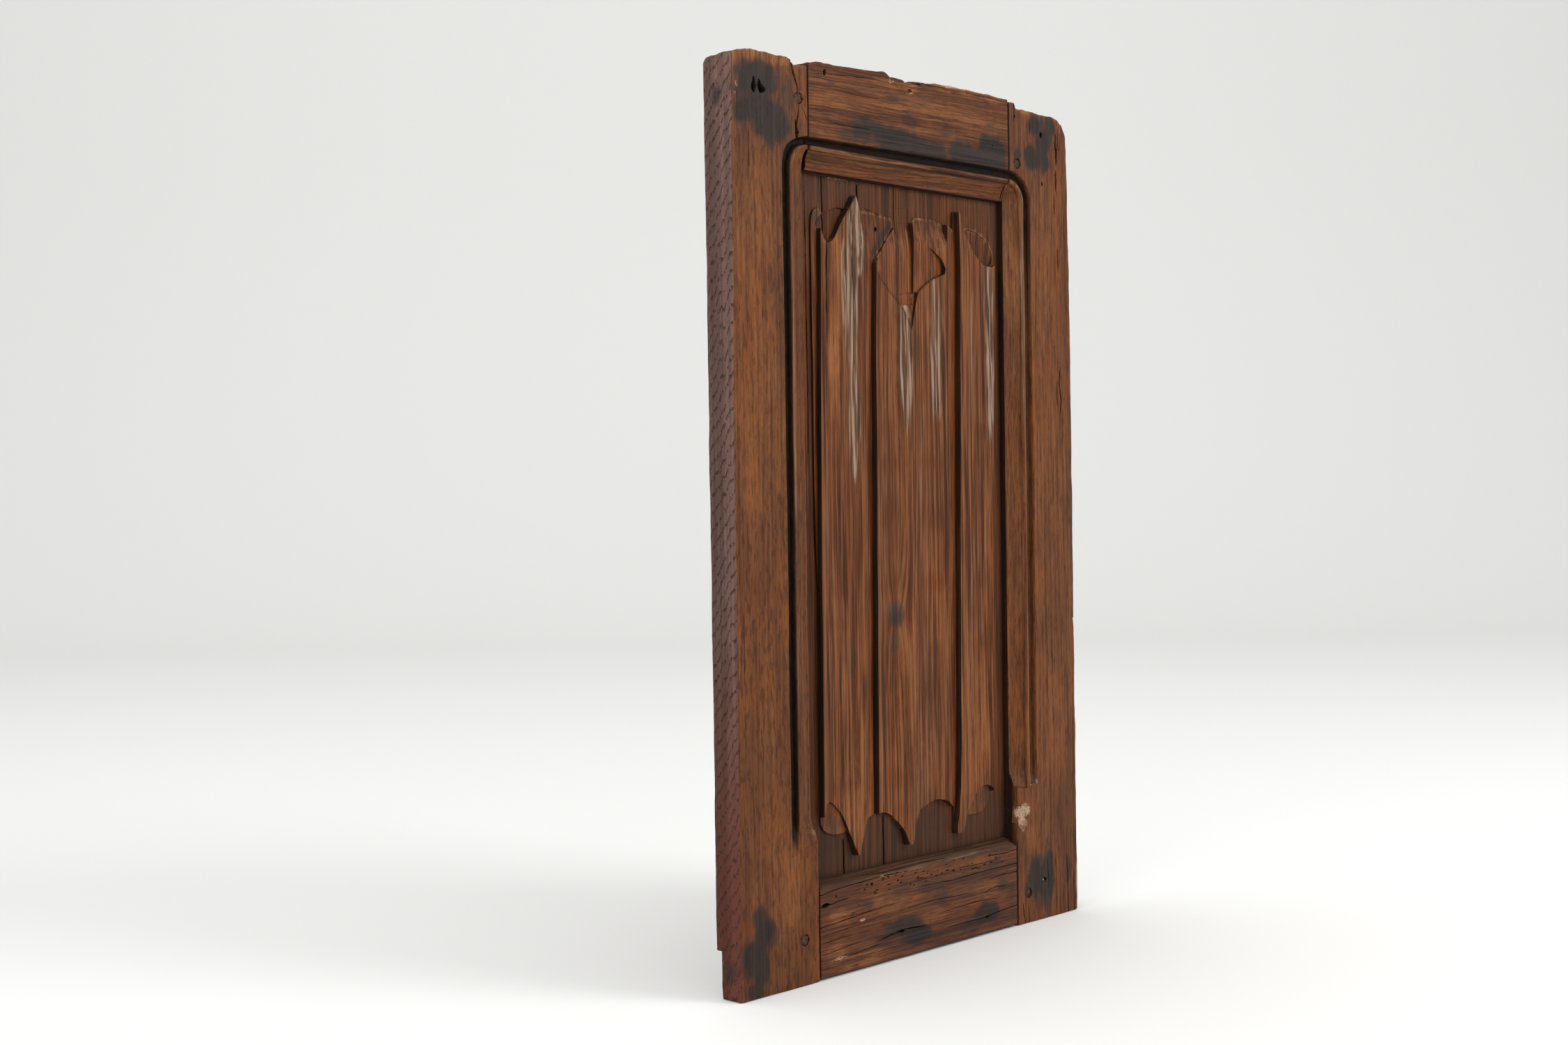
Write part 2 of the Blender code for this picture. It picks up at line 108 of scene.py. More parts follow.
def patches(points, spots, seed):  # soft uneven spots: across, up, half width, half height, strength
    total = np.zeros(len(points))
    across, deep, up = points.T
    ragged = 0.30 * wander(across / 13, deep / 13, up / 20, seed)
    ragged += 0.20 * wander(across / 4, deep / 4, up / 9, seed + 1)
    for left, rise, wide, tall, strength in spots:
        reach = np.hypot((across - left) / wide, (up - rise) / tall) + ragged
        total = np.maximum(total, strength * ease(-reach, -1.35, -0.45))
    return total


# Meshes

def meshObject(name, bm):
    bmesh.ops.recalc_face_normals(bm, faces=bm.faces)
    mesh = bpy.data.meshes.new(name)
    bm.to_mesh(mesh)
    bm.free()
    piece = bpy.data.objects.new(name, mesh)
    bpy.context.scene.collection.objects.link(piece)
    if name.startswith(("cut", "add")):
        shapes.append(piece)
    return piece


def getPoints(piece):
    points = np.empty(len(piece.data.vertices) * 3)
    piece.data.vertices.foreach_get("co", points)
    return points.reshape(-1, 3)


def setPoints(piece, points):
    piece.data.vertices.foreach_set("co", points.ravel())
    piece.data.update()


def block(name, across, deep, up, cell, gather=0.0):
    # a closed block in cells of about the given size, closer together at its ends by gather
    spans = (across, deep, up)
    cells = [max(2, round((high - low) / size)) for (low, high), size in zip(spans, cell)]
    bm = bmesh.new()
    bmesh.ops.create_grid(bm, x_segments=cells[0], y_segments=cells[2], size=0.5)
    grown = bmesh.ops.extrude_face_region(bm, geom=bm.faces[:])
    back = [item for item in grown["geom"] if isinstance(item, bmesh.types.BMVert)]
    bmesh.ops.translate(bm, vec=(0, 0, 1), verts=back)
    rim = [edge for edge in bm.edges if abs(edge.verts[0].co.z - edge.verts[1].co.z) > 0.5]
    bmesh.ops.subdivide_edges(bm, edges=rim, cuts=cells[1] - 1, use_grid_fill=True)
    bmesh.ops.rotate(bm, cent=(0, 0, 0), matrix=Matrix.Rotation(math.pi / 2, 3, "X"), verts=bm.verts)
    piece = meshObject(name, bm)
    points = getPoints(piece)
    share = (points - points.min(axis=0)) / np.ptp(points, axis=0)
    closer = share - gather * np.sin(2 * np.pi * share) / (2 * np.pi)
    closer[:, 1] = share[:, 1]
    for axis, (low, high) in enumerate(spans):
        points[:, axis] = low + (high - low) * closer[:, axis]
    setPoints(piece, points)
    return piece


def roundArrises(points, low, high, radius):
    # moves a block's points in to arrises of that radius, which may differ from point to point
    inside = np.minimum(points - low, high - points)
    short = np.clip(radius[:, None] - inside, 0, None)
    reach = np.linalg.norm(short, axis=1)
    over = reach > radius
    scale = np.where(over, 1 - radius / np.maximum(reach, 1e-6), 0.0)
    inward = np.where(points - low < high - points, 1.0, -1.0)
    return points + inward * short * scale[:, None]


def curved(outline, step=1.5, bend=48):
    # a closed outline made smooth, apart from its corners, where it turns by more than bend degrees
    places = [Vector(point) for point in outline]
    count = len(places)
    tangents = []
    for index, place in enumerate(places):
        before, after = places[index - 1], places[(index + 1) % count]
        corner = (place - before).angle(after - place, 0.0) > math.radians(bend)
        tangents.append(None if corner else (after - before).normalized())
    line = []
    for index, place in enumerate(places):
        after = places[(index + 1) % count]
        length = (after - place).length
        straight = (after - place).normalized()
        leave = place + (tangents[index] or straight) * length / 3
        arrive = after - (tangents[(index + 1) % count] or straight) * length / 3
        parts = max(2, round(length / step) + 1)
        line += geometry.interpolate_bezier(place, leave, arrive, after, parts)[:-1]
    return [tuple(place) for place in line]


def spread(outline, distance):  # the outline moved outwards
    places = [Vector(point) for point in outline]
    area = sum(a.x * b.y - b.x * a.y for a, b in zip(places, places[1:] + places[:1]))
    side = 1 if area > 0 else -1
    moved = []
    for index, place in enumerate(places):
        along = places[(index + 1) % len(places)] - places[index - 1]
        if along.length < 1e-6:
            along = Vector((1, 0))
        moved.append(place + Vector((along.y, -along.x)).normalized() * distance * side)
    return moved


def prism(name, outline, front, back, flare=0.0):
    # an outline made thick, wider at its back by flare
    bm = bmesh.new()
    near = [bm.verts.new((across, front, up)) for across, up in outline]
    grown = bmesh.ops.extrude_face_region(bm, geom=[bm.faces.new(near)])
    far = {item for item in grown["geom"] if isinstance(item, bmesh.types.BMVert)}
    for vert, place in zip(near, spread(outline, flare)):
        for edge in vert.link_edges:
            if edge.other_vert(vert) in far:
                edge.other_vert(vert).co = (place.x, back, place.y)
    return meshObject(name, bm)


def combine(piece, steps):  # steps: pairs of operation and shape
    for operation, shape in steps:
        modifier = piece.modifiers.new(shape.name, "BOOLEAN")
        modifier.operation = operation
        modifier.solver = "MANIFOLD"
        modifier.object = shape
    bpy.context.view_layer.update()
    solid = piece.evaluated_get(bpy.context.evaluated_depsgraph_get())
    mesh = bpy.data.meshes.new_from_object(solid)
    piece.modifiers.clear()
    spent = piece.data
    piece.data = mesh
    bpy.data.meshes.remove(spent)
    return piece


def hollow(name, outline, front, back, cell=1.6, flare=0.0):
    # a shape in an outline whose front and back are depths, or functions of across and up
    across = [point[0] for point in outline]
    up = [point[1] for point in outline]
    levels = [level for level in (front, back) if not callable(level)]
    room = 4
    body = block(name, (min(across) - room, max(across) + room), (0, 1), (min(up) - room, max(up) + room),
                 (cell, 1, cell))
    points = getPoints(body)
    share = points[:, 1].copy()
    near = front(points[:, 0], points[:, 2]) if callable(front) else front
    far = back(points[:, 0], points[:, 2]) if callable(back) else back
    points[:, 1] = near + (far - near) * share
    setPoints(body, points)
    wall = prism(name + " wall", outline, min(levels + [-20]), max(levels + [50]), flare)
    return combine(body, [("INTERSECT", wall)])


def crack(name, path, width, depth, seed, front=-3.0, openEnds=(0, 0)):
    # a narrow cleft along a path of across and up, pointed at its closed ends
    places = [Vector(point) for point in path]
    lengths = np.cumsum([0] + [(b - a).length for a, b in zip(places, places[1:])])
    count = max(6, int(lengths[-1] / 2.5))
    along = np.linspace(0, lengths[-1], count)
    line = np.array([np.interp(along, lengths, [place[axis] for place in places]) for axis in (0, 1)]).T
    share = along / lengths[-1]
    rough = 1 + 0.5 * wander(along / 6, seed, 0.5, seed)
    half = 0.5 * width * rough * np.maximum(np.sqrt(np.clip(4 * share * (1 - share), 0, 1)), 0.08)
    half = np.where(share < 0.5, np.maximum(half, openEnds[0] * width / 2 * (share < 0.25)), half)
    half = np.where(share > 0.5, np.maximum(half, openEnds[1] * width / 2 * (share > 0.75)), half)
    direction = np.gradient(line, axis=0)
    direction /= np.linalg.norm(direction, axis=1)[:, None]
    normal = np.stack([direction[:, 1], -direction[:, 0]], axis=1)
    jog = 0.35 * width * wander(along / 4, 9.5, seed, seed)
    near = line + normal * (half + jog)[:, None]
    far = line - normal * (half - jog)[:, None]
    outline = [tuple(point) for point in near] + [tuple(point) for point in far[::-1]]
    return prism(name, outline, front, depth)


def pit(name, across, up, wide, tall, depth, seed, front=-2.0):
    # a ragged hole, as a nail or a beetle leaves
    turns = np.linspace(0, 2 * math.pi, 18, endpoint=False)
    ragged = 1 + 0.22 * wander(2 * np.cos(turns), 2 * np.sin(turns), seed, seed)
    outline = [(across + wide / 2 * r * math.cos(t), up + tall / 2 * r * math.sin(t))
               for t, r in zip(turns, ragged)]
    return prism(name, outline, front, depth, flare=-0.2 * min(wide, tall))


def cuts(*cutters):
    return [("DIFFERENCE", cutter) for cutter in cutters]


def openCuts(name, look, crackSeed, holeSeed, crackFront=-3.0, holeFront=-2.0):  # a piece's cracks and holes
    cutters = [crack("cut crack %s %d" % (name, number), path, look["crackWidth"] * width, depth,
                     number + crackSeed, crackFront, openEnds)
               for number, (path, width, depth, openEnds) in enumerate(look["cracks"])]
    cutters += [pit("cut hole %s %d" % (name, number), *hole, number + holeSeed, holeFront)
                for number, hole in enumerate(look["holes"])]
    return cuts(*cutters)


def middle(node):  # a node's middle, across and up
    return [sum(spans[node][axis]) / 2 for axis in (0, 2)]


def rod(name, taper, segments, rings, ringWidth, lengthCuts):
    # a rod along the depth, its ends made of rings: length 1, radius 1 at its front and taper at its back
    bm = bmesh.new()
    bmesh.ops.create_cone(bm, cap_ends=True, segments=segments, radius1=taper, radius2=1, depth=1)
    sides = [edge for edge in bm.edges if abs(edge.verts[0].co.z - edge.verts[1].co.z) > 0.5]
    bmesh.ops.subdivide_edges(bm, edges=sides, cuts=lengthCuts, use_grid_fill=True)
    for cap in [face for face in bm.faces if len(face.verts) > 4]:
        for _ in range(rings):
            bmesh.ops.inset_region(bm, faces=[cap], thickness=ringWidth, use_even_offset=True)
    bmesh.ops.rotate(bm, cent=(0, 0, 0), matrix=Matrix.Rotation(math.pi / 2, 3, "X"), verts=bm.verts)
    return meshObject(name, bm)


def wearArrises(piece, share=0.35, reach=1.2, rounds=2):
    # pulls sharp outer edges in towards their neighbours, as handling does
    mesh = piece.data
    ends = np.empty(len(mesh.edges) * 2, dtype=np.int64)
    mesh.edges.foreach_get("vertices", ends)
    first, second = ends.reshape(-1, 2).T
    for _ in range(rounds):
        points = getPoints(piece)
        normals = np.empty(len(points) * 3)
        mesh.vertices.foreach_get("normal", normals)
        normals = normals.reshape(-1, 3)
        step = points[second] - points[first]
        length = np.linalg.norm(step, axis=1)
        step *= (np.minimum(length, reach) / np.maximum(length, 1e-6))[:, None]
        pull = np.zeros_like(points)
        for axis in range(3):
            pull[:, axis] += np.bincount(first, step[:, axis], len(points))
            pull[:, axis] -= np.bincount(second, step[:, axis], len(points))
        pull /= np.maximum(np.bincount(np.concatenate((first, second)), minlength=len(points)), 1)[:, None]
        inward = -(pull * normals).sum(axis=1)
        worn = inward > 0.12
        points[worn] -= normals[worn] * (share * inward[worn])[:, None]
        setPoints(piece, points)


def paint(piece, name, values):
    layer = piece.data.attributes.new(name, "FLOAT", "POINT")
    layer.data.foreach_set("value", np.asarray(values, dtype=np.float32))


def settle(piece, node, material, sharp=38):
    # into the scene's place, with its finish, in the node's stead
    piece.data.transform(toScene)
    piece.data.materials.clear()
    piece.data.materials.append(material)
    piece.data.shade_smooth()
    piece.data.set_sharp_from_angle(angle=math.radians(sharp))
    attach(piece, "root")
    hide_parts(node)
    print(piece.name, len(piece.data.polygons), "faces")


# Moulding of the stiles and the top rail: a hollow next to the sight edge, a bead and a quirk

moulding = {
    "hollowWidth": 17.0, "beadWidth": 7.0, "quirkWidth": 9.0,
    "sightDepth": 9.5, "filletDepth": 4.3, "beadCrown": 0.7, "quirkDepth": 6.2,
    "overcut": 0.7,  # how far the cutter runs past the sight edge
    "leftStop": 124.0, "rightStop": 137.0,
    "leftRun": 20.0, "rightRun": 14.0,  # how far above its stop the moulding begins to grow shallow
    "leftStep": 0.12, "rightStep": 0.4,  # share of its depth left at the stop
    "rowHeight": 6.0, "turnSteps": 18,
    "handWave": 0.3,
    "sightRise": [(97, 5.0), (376, 2.6)],  # how far up the rail's lower edge is worn, along the rail
}


def mouldingSection(look):  # distance from the sight edge and depth, from the opening outwards
    hollowEnd = look["hollowWidth"]
    beadEnd = hollowEnd + look["beadWidth"]
    quirkEnd = beadEnd + look["quirkWidth"]
    fall = look["sightDepth"] - look["filletDepth"]
    section = [(-look["overcut"], look["sightDepth"] + 0.2)]
    section += [(hollowEnd * t, look["filletDepth"] + fall * math.cos(t * math.pi / 2) ** 0.85)
                for t in np.linspace(0, 1, 13)]
    rise = look["filletDepth"] - look["beadCrown"]
    for t in np.linspace(0.06, 0.94, 11):
        section.append((hollowEnd + look["beadWidth"] * (0.5 - 0.5 * math.cos(t * math.pi)),
                        look["filletDepth"] - rise * math.sin(t * math.pi) ** 0.8))
    section += [(beadEnd + 0.5, look["quirkDepth"] - 0.8), (beadEnd + 1.6, look["quirkDepth"]),
                (quirkEnd - 2.4, look["quirkDepth"]), (quirkEnd - 1.2, look["quirkDepth"] - 1.0),
                (quirkEnd - 0.5, 1.2), (quirkEnd, 0.0), (quirkEnd + 0.5, -3.0), (-look["overcut"], -3.0)]
    return section


def sightRise(across, up):
    rise = np.interp(across, *np.array(moulding["sightRise"]).T)
    return rise * ease(up, openingTop - 45, openingTop) * ease(-up, -openingTop - 33, -openingTop - 12)


def mouldingCutter(look):
    width = look["hollowWidth"] + look["beadWidth"] + look["quirkWidth"]
    bm = bmesh.new()
    ring = [bm.verts.new((leftSight - d, depth, look["leftStop"])) for d, depth in mouldingSection(look)]
    edges = [bm.edges.new((a, b)) for a, b in zip(ring, ring[1:] + ring[:1])]
    bmesh.ops.contextual_create(bm, geom=edges)
    last = ring + edges
    inset = 1.0  # the turns' centres lie this far inside the sight corners
    legs = [
        ((0, 0, 0), openingTop - inset - look["leftStop"], 0.0, (0, 0, 1)),
        ((leftSight + inset, 0, openingTop - inset), 0.0, math.pi / 2, None),
        ((0, 0, 0), rightSight - leftSight - 2 * inset, 0.0, (1, 0, 0)),
        ((rightSight - inset, 0, openingTop - inset), 0.0, math.pi / 2, None),
        ((0, 0, 0), openingTop - inset - look["rightStop"], 0.0, (0, 0, -1)),
    ]
    for centre, length, angle, direction in legs:
        steps = look["turnSteps"] if angle else max(2, round(length / look["rowHeight"]))
        move = Vector(direction) * length / steps if direction else Vector()
        grown = bmesh.ops.spin(bm, geom=last, cent=centre, axis=(0, 1, 0), dvec=move, angle=angle,
                               steps=steps)
        last = grown["geom_last"]
    bmesh.ops.contextual_create(bm, geom=[item for item in last if isinstance(item, bmesh.types.BMEdge)])
    bmesh.ops.remove_doubles(bm, verts=bm.verts, dist=0.001)
    cutter = meshObject("cut moulding", bm)
    points = getPoints(cutter)
    across, deep, up = points.T.copy()
    wave = look["handWave"]
    points[:, 1] += wave * np.where(deep > 0.5, 0.6 * wander(across / 40, 1, up / 40, 3), 0)
    points[:, 0] += wave * np.where(up < openingTop - 20, wander(across / 11, 2, up / 55, 5), 0)
    points[:, 2] += wave * np.where(up > openingTop - 1, wander(across / 55, 3, up / 11, 6), 0)
    # the stops rise towards the flat face
    low = up < look["leftStop"] + 0.1
    left = low & (across < 200)
    points[left, 2] -= 0.3 * (leftSight - across[left])
    right = (up < look["rightStop"] + 0.1) & (across > 300)
    outward = (across[right] - rightSight) / width
    points[right, 2] -= 4.0 * np.sin(np.pi * np.clip(outward, 0, 1))
    for side, near in (("left", across < 200), ("right", across > 300)):
        stop = look[side + "Stop"]
        share = look[side + "Step"] + (1 - look[side + "Step"]) * ease(up, stop, stop + look[side + "Run"])
        points[:, 1] = np.where(near & (deep > 0), points[:, 1] * share, points[:, 1])
    points[:, 2] += sightRise(across, up)
    setPoints(cutter, points)
    return cutter


mouldingShape = mouldingCutter(moulding)
grooveShape = block("cut groove", (leftSight - 8, rightSight + 8),
                    (spans["carved_panel"][1][1] - 8.6, spans["carved_panel"][1][1] + 0.3),
                    (openingFoot - 8, openingTop + 8), (200, 20, 400))
print("moulding cutter made")


# Stiles

leftStile = {  # cracks: path, width, depth, and which ends are open; holes: across, up, wide, tall, deep
    "topLine": [(0, 791), (3.8, 797), (14, 799.7), (27.6, 802.6), (47, 802.2), (70, 801.6), (75, 801.2),
                (77.5, 798.5), (79.5, 795.5), (84, 796.8), (94, 798.2), (97, 798.6)],
    "leftEdge": [(0, 0.6), (400, 1.8), (700, 3.6), (800, 4.8)],
    "rightEdge": [(0, 96.6), (800, 96.6)],
    "arris": 1.5, "hollowFace": 0.35, "crackWidth": 1.0,
    "cracks": [
        ([(76, 806), (77.5, 796), (79.5, 788), (82.5, 781), (84.2, 773)], 2.0, 9, (1, 0)),
        ([(85.5, 763), (84, 752), (82.5, 744), (85, 736)], 1.3, 7, (0, 0)),
        ([(88, 762), (92, 757), (95, 748)], 0.7, 5, (0, 0)),
        ([(10, 330), (10.5, 300), (10.2, 275)], 0.4, 3, (0, 0)),
        ([(24, 735), (24.5, 716), (24.2, 700)], 0.45, 3, (0, 0)),
        ([(55, 6), (55.5, -3)], 0.6, 6, (0, 1)),
    ],
    "gash": [(79.6, 748), (81.5, 750), (83.0, 744), (85.5, 738.5), (84.0, 737.4), (85.5, 731), (81, 730),
             (80.2, 738)],
    "lines": [  # as on the carved board
        ("stain", 0.6, 2.0, [(-30, 36), (-2, 46)]),
        # a painted highlight along the left stop's edge
        ("raised", 2.0, 1.2, [(-28, 34.5), (-2, 44)]),
    ],
    "holes": [(31.0, 770.6, 7.0, 9.6, 14), (31.4, 775.6, 3.6, 9.2, 12),
              (38.0, 773.0, 4.6, 10.6, 14), (39.3, 771.0, 6.6, 8.2, 13), (40.8, 769.4, 8.6, 6.6, 12)],
    "stain": [(34, 768, 30, 30, 1.0), (44, 750, 30, 26, 1.0), (24, 750, 18, 16, 1.0), (40, 784, 26, 14, 0.9),
              (70, 770, 22, 24, 0.55), (78, 742, 20, 18, 0.5),
              (18, 30, 17, 28, 1.0), (28, 54, 15, 14, 0.95), (16, 8, 12, 12, 0.9), (22, 68, 10, 13, 0.85),
              (38, 46, 8, 10, 0.7)],
    "warm": [(5, 790, 8, 14, 1.0), (9, 778, 5, 12, 0.8), (22, 801, 15, 9, 1.0), (52, 798, 16, 7, 0.7),
             (66, 797, 7, 5, 1.0), (25, 640, 26, 60, 0.35), (40, 500, 40, 90, 0.35), (50, 90, 30, 50, 0.35)],
    "silver": [(12, 700, 20, 60, 0.12)],
    "pale": [(11, 770, 3, 5, 0.62), (9, 762, 3, 4, 0.58), (20, 786, 2, 2, 0.4), (68, 798, 4, 2, 0.5)],
}
rightStile = {
    "topLine": [(375, 802.5), (383, 803.2), (385.4, 802), (386.4, 797.6), (400, 797.8), (424, 796.8),
                (445, 796.5), (452, 795), (460.5, 790.4), (465, 783), (469, 774), (474, 756)],
    "leftEdge": [(0, 375.6), (800, 375.6)],
    "rightEdge": [(0, 473.7), (101, 473), (288, 472.9), (292, 471.9), (297, 472.7), (372, 472.6),
                  (625, 471.4), (730, 469.4), (776, 468.2), (800, 467)],
    "arris": 1.7, "hollowFace": 0.45, "crackWidth": 1.0,
    "cracks": [
        ([(451, 781), (450.3, 770), (451.2, 758), (450.2, 748)], 2.6, 9, (0, 0)),
        ([(449.5, 744), (450.6, 733), (449.6, 722)], 2.4, 8, (0, 0)),
        ([(447, 719), (446.5, 706), (447.3, 697)], 1.2, 6, (0, 0)),
        ([(454, 786), (453.6, 776), (454.6, 762)], 1.0, 6, (0, 0)),
        ([(408, 791), (408.6, 782), (408, 774)], 1.1, 7, (0, 0)),
        ([(383.5, 805), (384.3, 794), (383.6, 783)], 1.0, 8, (1, 0)),
        ([(452, 668), (451.4, 655), (452.5, 641)], 1.4, 5, (0, 0)),
        ([(454, 548), (452.5, 532), (454.5, 515), (453, 500)], 1.8, 6, (0, 0)),
        ([(449, 536), (448, 520), (449.5, 508)], 1.0, 5, (0, 0)),
        ([(437, 66), (437.6, 40), (438.3, 6)], 1.1, 8, (0, 0.5)),
        ([(455.5, 60), (456.2, 30), (457.2, -3)], 1.2, 9, (0, 1)),
        ([(423.5, 60), (424.3, 45), (424, 30)], 0.8, 5, (0, 0)),
        ([(466, 44), (466.8, 20), (467.3, -3)], 0.8, 8, (0, 1)),
        ([(383, 22), (385, 10), (387.5, -3)], 1.2, 8, (0, 1)),
        ([(391, 18), (392.5, 8), (393.5, -3)], 0.8, 7, (0, 1)),
    ],
    "gash": [(469.5, 296), (475.5, 297.5), (475.5, 287), (471, 289)],
    "lines": [
        # painted shade and a painted highlight along the right stop's edge
        ("dim", 0.9, 2.2, [(284, 53.5), (311, 53.5)]),
        ("silver", 0.85, 1.8, [(284, 50.5), (311, 50.5)]),
    ],
    "holes": [(426.3, 776, 5.0, 6.4, 14), (427.3, 728, 3.0, 5.2, 12), (451.4, 764, 2.6, 4.2, 9),
              (385, 789.5, 2.4, 3.4, 6), (449.8, 738.5, 3.2, 3.0, 7)],
    "chip": [(368, 116.6), (382, 118), (396.5, 116.6), (394.5, 108), (390, 99.5), (385, 92.5), (380.5, 96),
             (372, 106)],
    "pale": [(387, 110, 12, 8, 0.85), (387, 101, 8, 9, 0.85), (385, 94, 4, 5, 0.75), (472, 104, 3, 12, 0.5),
             (462, 790, 4, 2, 0.5)],
    "stain": [(420, 783, 20, 13, 1.0), (430, 770, 16, 24, 1.0), (412, 752, 14, 13, 0.95),
              (440, 786, 12, 12, 0.85), (432, 752, 11, 15, 0.9), (388, 752, 7, 10, 0.8),
              (404, 46, 13, 26, 1.0), (422, 36, 14, 34, 1.0),
              (392, 33, 9, 10, 0.7), (412, 18, 12, 12, 0.6), (458, 46, 6, 18, 0.7), (470, 70, 5, 26, 0.7),
              (470, 300, 4, 8, 0.6), (395, 62, 8, 9, 0.5)],
    "warm": [(460, 788, 8, 6, 1.0), (400, 796, 12, 3, 0.9), (446, 795, 7, 3, 1.0), (420, 640, 26, 90, 0.4),
             (385, 640, 10, 60, 0.6), (430, 420, 34, 120, 0.25), (420, 210, 32, 60, 0.3),
             (400, 88, 14, 12, 0.3)],
    # painted sheen in streaks on the moulding, and bare grey wood
    "silver": [(386, 600, 4, 110, 0.3), (396, 560, 4, 190, 0.42), (473, 30, 3, 40, 0.5)],
}
footLoss = {"wide": 30.0, "high": 41.0, "deep": 7.0}
panelWidth = 474.0
pegHoleRadius = 5.45
tenons = {"deep": (12, 20), "top": (716, 786), "bottom": (14, 74), "room": 0.3}
cornerLoss = 50.0  # how far down the wear of a stile's top end reaches


def stileBody(name, look, span):
    body = block(name, span[0], span[1], (0, stileHeight), (1.3, 4.5, 3.2), gather=0.45)
    points = getPoints(body)
    across, deep, up = points.T.copy()
    low = np.array([span[0][0], span[1][0], 0.0])
    high = np.array([span[0][1], span[1][1], stileHeight])
    uneven = 0.55 * wander(across / 30, deep / 30, up / 26, 11) + 0.3 * wander(across, deep, up / 7, 12)
    points = roundArrises(points, low, high, np.clip(look["arris"] * (1 + uneven), 0.5, 4.5))
    share = (points[:, 0] - low[0]) / (high[0] - low[0])
    # the faces are a little hollow and uneven, by hand plane and wear
    faceDip = look["hollowFace"] * (0.5 + 0.5 * wander(across / 35, 0, up / 140, 13))
    points[:, 1] += np.where(deep < 1, faceDip, 0) - np.where(deep > thickness - 1, faceDip, 0)
    edges = [np.interp(up, *np.array(look[edge]).T) for edge in ("leftEdge", "rightEdge")]
    rough = 0.5 * (0.5 + 0.5 * wander(1, deep / 8, up / 45, 14))
    rough = rough + 0.25 * (0.5 + 0.5 * wander(2, deep / 3, up / 9, 15))
    edges[0] = span[0][0] + (edges[0] - span[0][0]) * (1 - deep / thickness)
    edges[0] = edges[0] + (rough if name == "leftStile" else 0)
    edges[1] = edges[1] - (rough if name == "rightStile" else 0)
    points[:, 0] = edges[0] + share * (edges[1] - edges[0])
    # the top end is worn to its line and splintered
    weight = ease(up, stileHeight - cornerLoss, stileHeight)
    top = np.interp(points[:, 0], *np.array(look["topLine"]).T)
    splinter = 0.8 * wander(across / 2.2, deep / 3.5, 0.5, 16) + 0.7 * wander(across / 7, deep / 9, 0.5, 17)
    endWear = np.where(up > stileHeight - 3, splinter - 1.2 * ease(deep, 6, 28), 0)
    points[:, 2] += weight * (top - stileHeight + endWear)
    setPoints(body, points)
    return body


def stileCuts(side, look):
    gash = prism("cut gash " + side, look["gash"], -3, 5.5, flare=-0.5)
    pegHoles = [pit("cut peg hole " + level, *middle("peg_%s_%s" % (level, side)), 2 * pegHoleRadius,
                    2 * pegHoleRadius, thickness + 3, 1) for level in ("top", "bottom")]
    return cuts(mouldingShape, grooveShape) + openCuts(side, look, 20, 3) + cuts(gash, *pegHoles)


def mortise(level):  # the rail's tenons with a little room
    room = tenons["room"]
    sides = (spans[level + "_rail"][0], tenons["deep"], tenons[level])
    return block("cut mortise " + level, *[(low - room, high + room) for low, high in sides], (300, 9, 40))


mortiseShapes = [mortise("top"), mortise("bottom")]

leftBody = stileBody("leftStile", leftStile, [(0, leftSight), (0, thickness)])
lossOutline = [(-4, -4), (footLoss["wide"] + 3, -4), (footLoss["wide"] * 0.5, footLoss["high"] * 0.7),
               (footLoss["wide"] * 0.3, footLoss["high"]), (-4, footLoss["high"])]


def lossFloor(across, up):
    fall = footLoss["deep"] * (1 - across / footLoss["wide"])
    return thickness - fall + 0.8 * wander(across / 5, 0, up / 14, 8)


def chipFloor(across, up):
    return 6.4 - 0.30 * (across - rightSight) + 0.7 * wander(across / 2.6, 0, up / 3, 4) - 0.06 * (up - 106)


lossShape = hollow("cut foot loss", lossOutline, lossFloor, thickness + 4)
combine(leftBody, stileCuts("left", leftStile) + cuts(*mortiseShapes, lossShape))
rightBody = stileBody("rightStile", rightStile, [(rightSight, panelWidth), (0, thickness)])
chipShape = hollow("cut chip", curved(rightStile["chip"]), -8, chipFloor, cell=1.2)
nailHole = pit("cut nail", *middle("nail_stub"), 8.0, 5.0, 9.6, 2)
combine(rightBody, stileCuts("right", rightStile) + cuts(*mortiseShapes, chipShape, nailHole))
print("stiles shaped", len(leftBody.data.vertices), len(rightBody.data.vertices))


# Rails

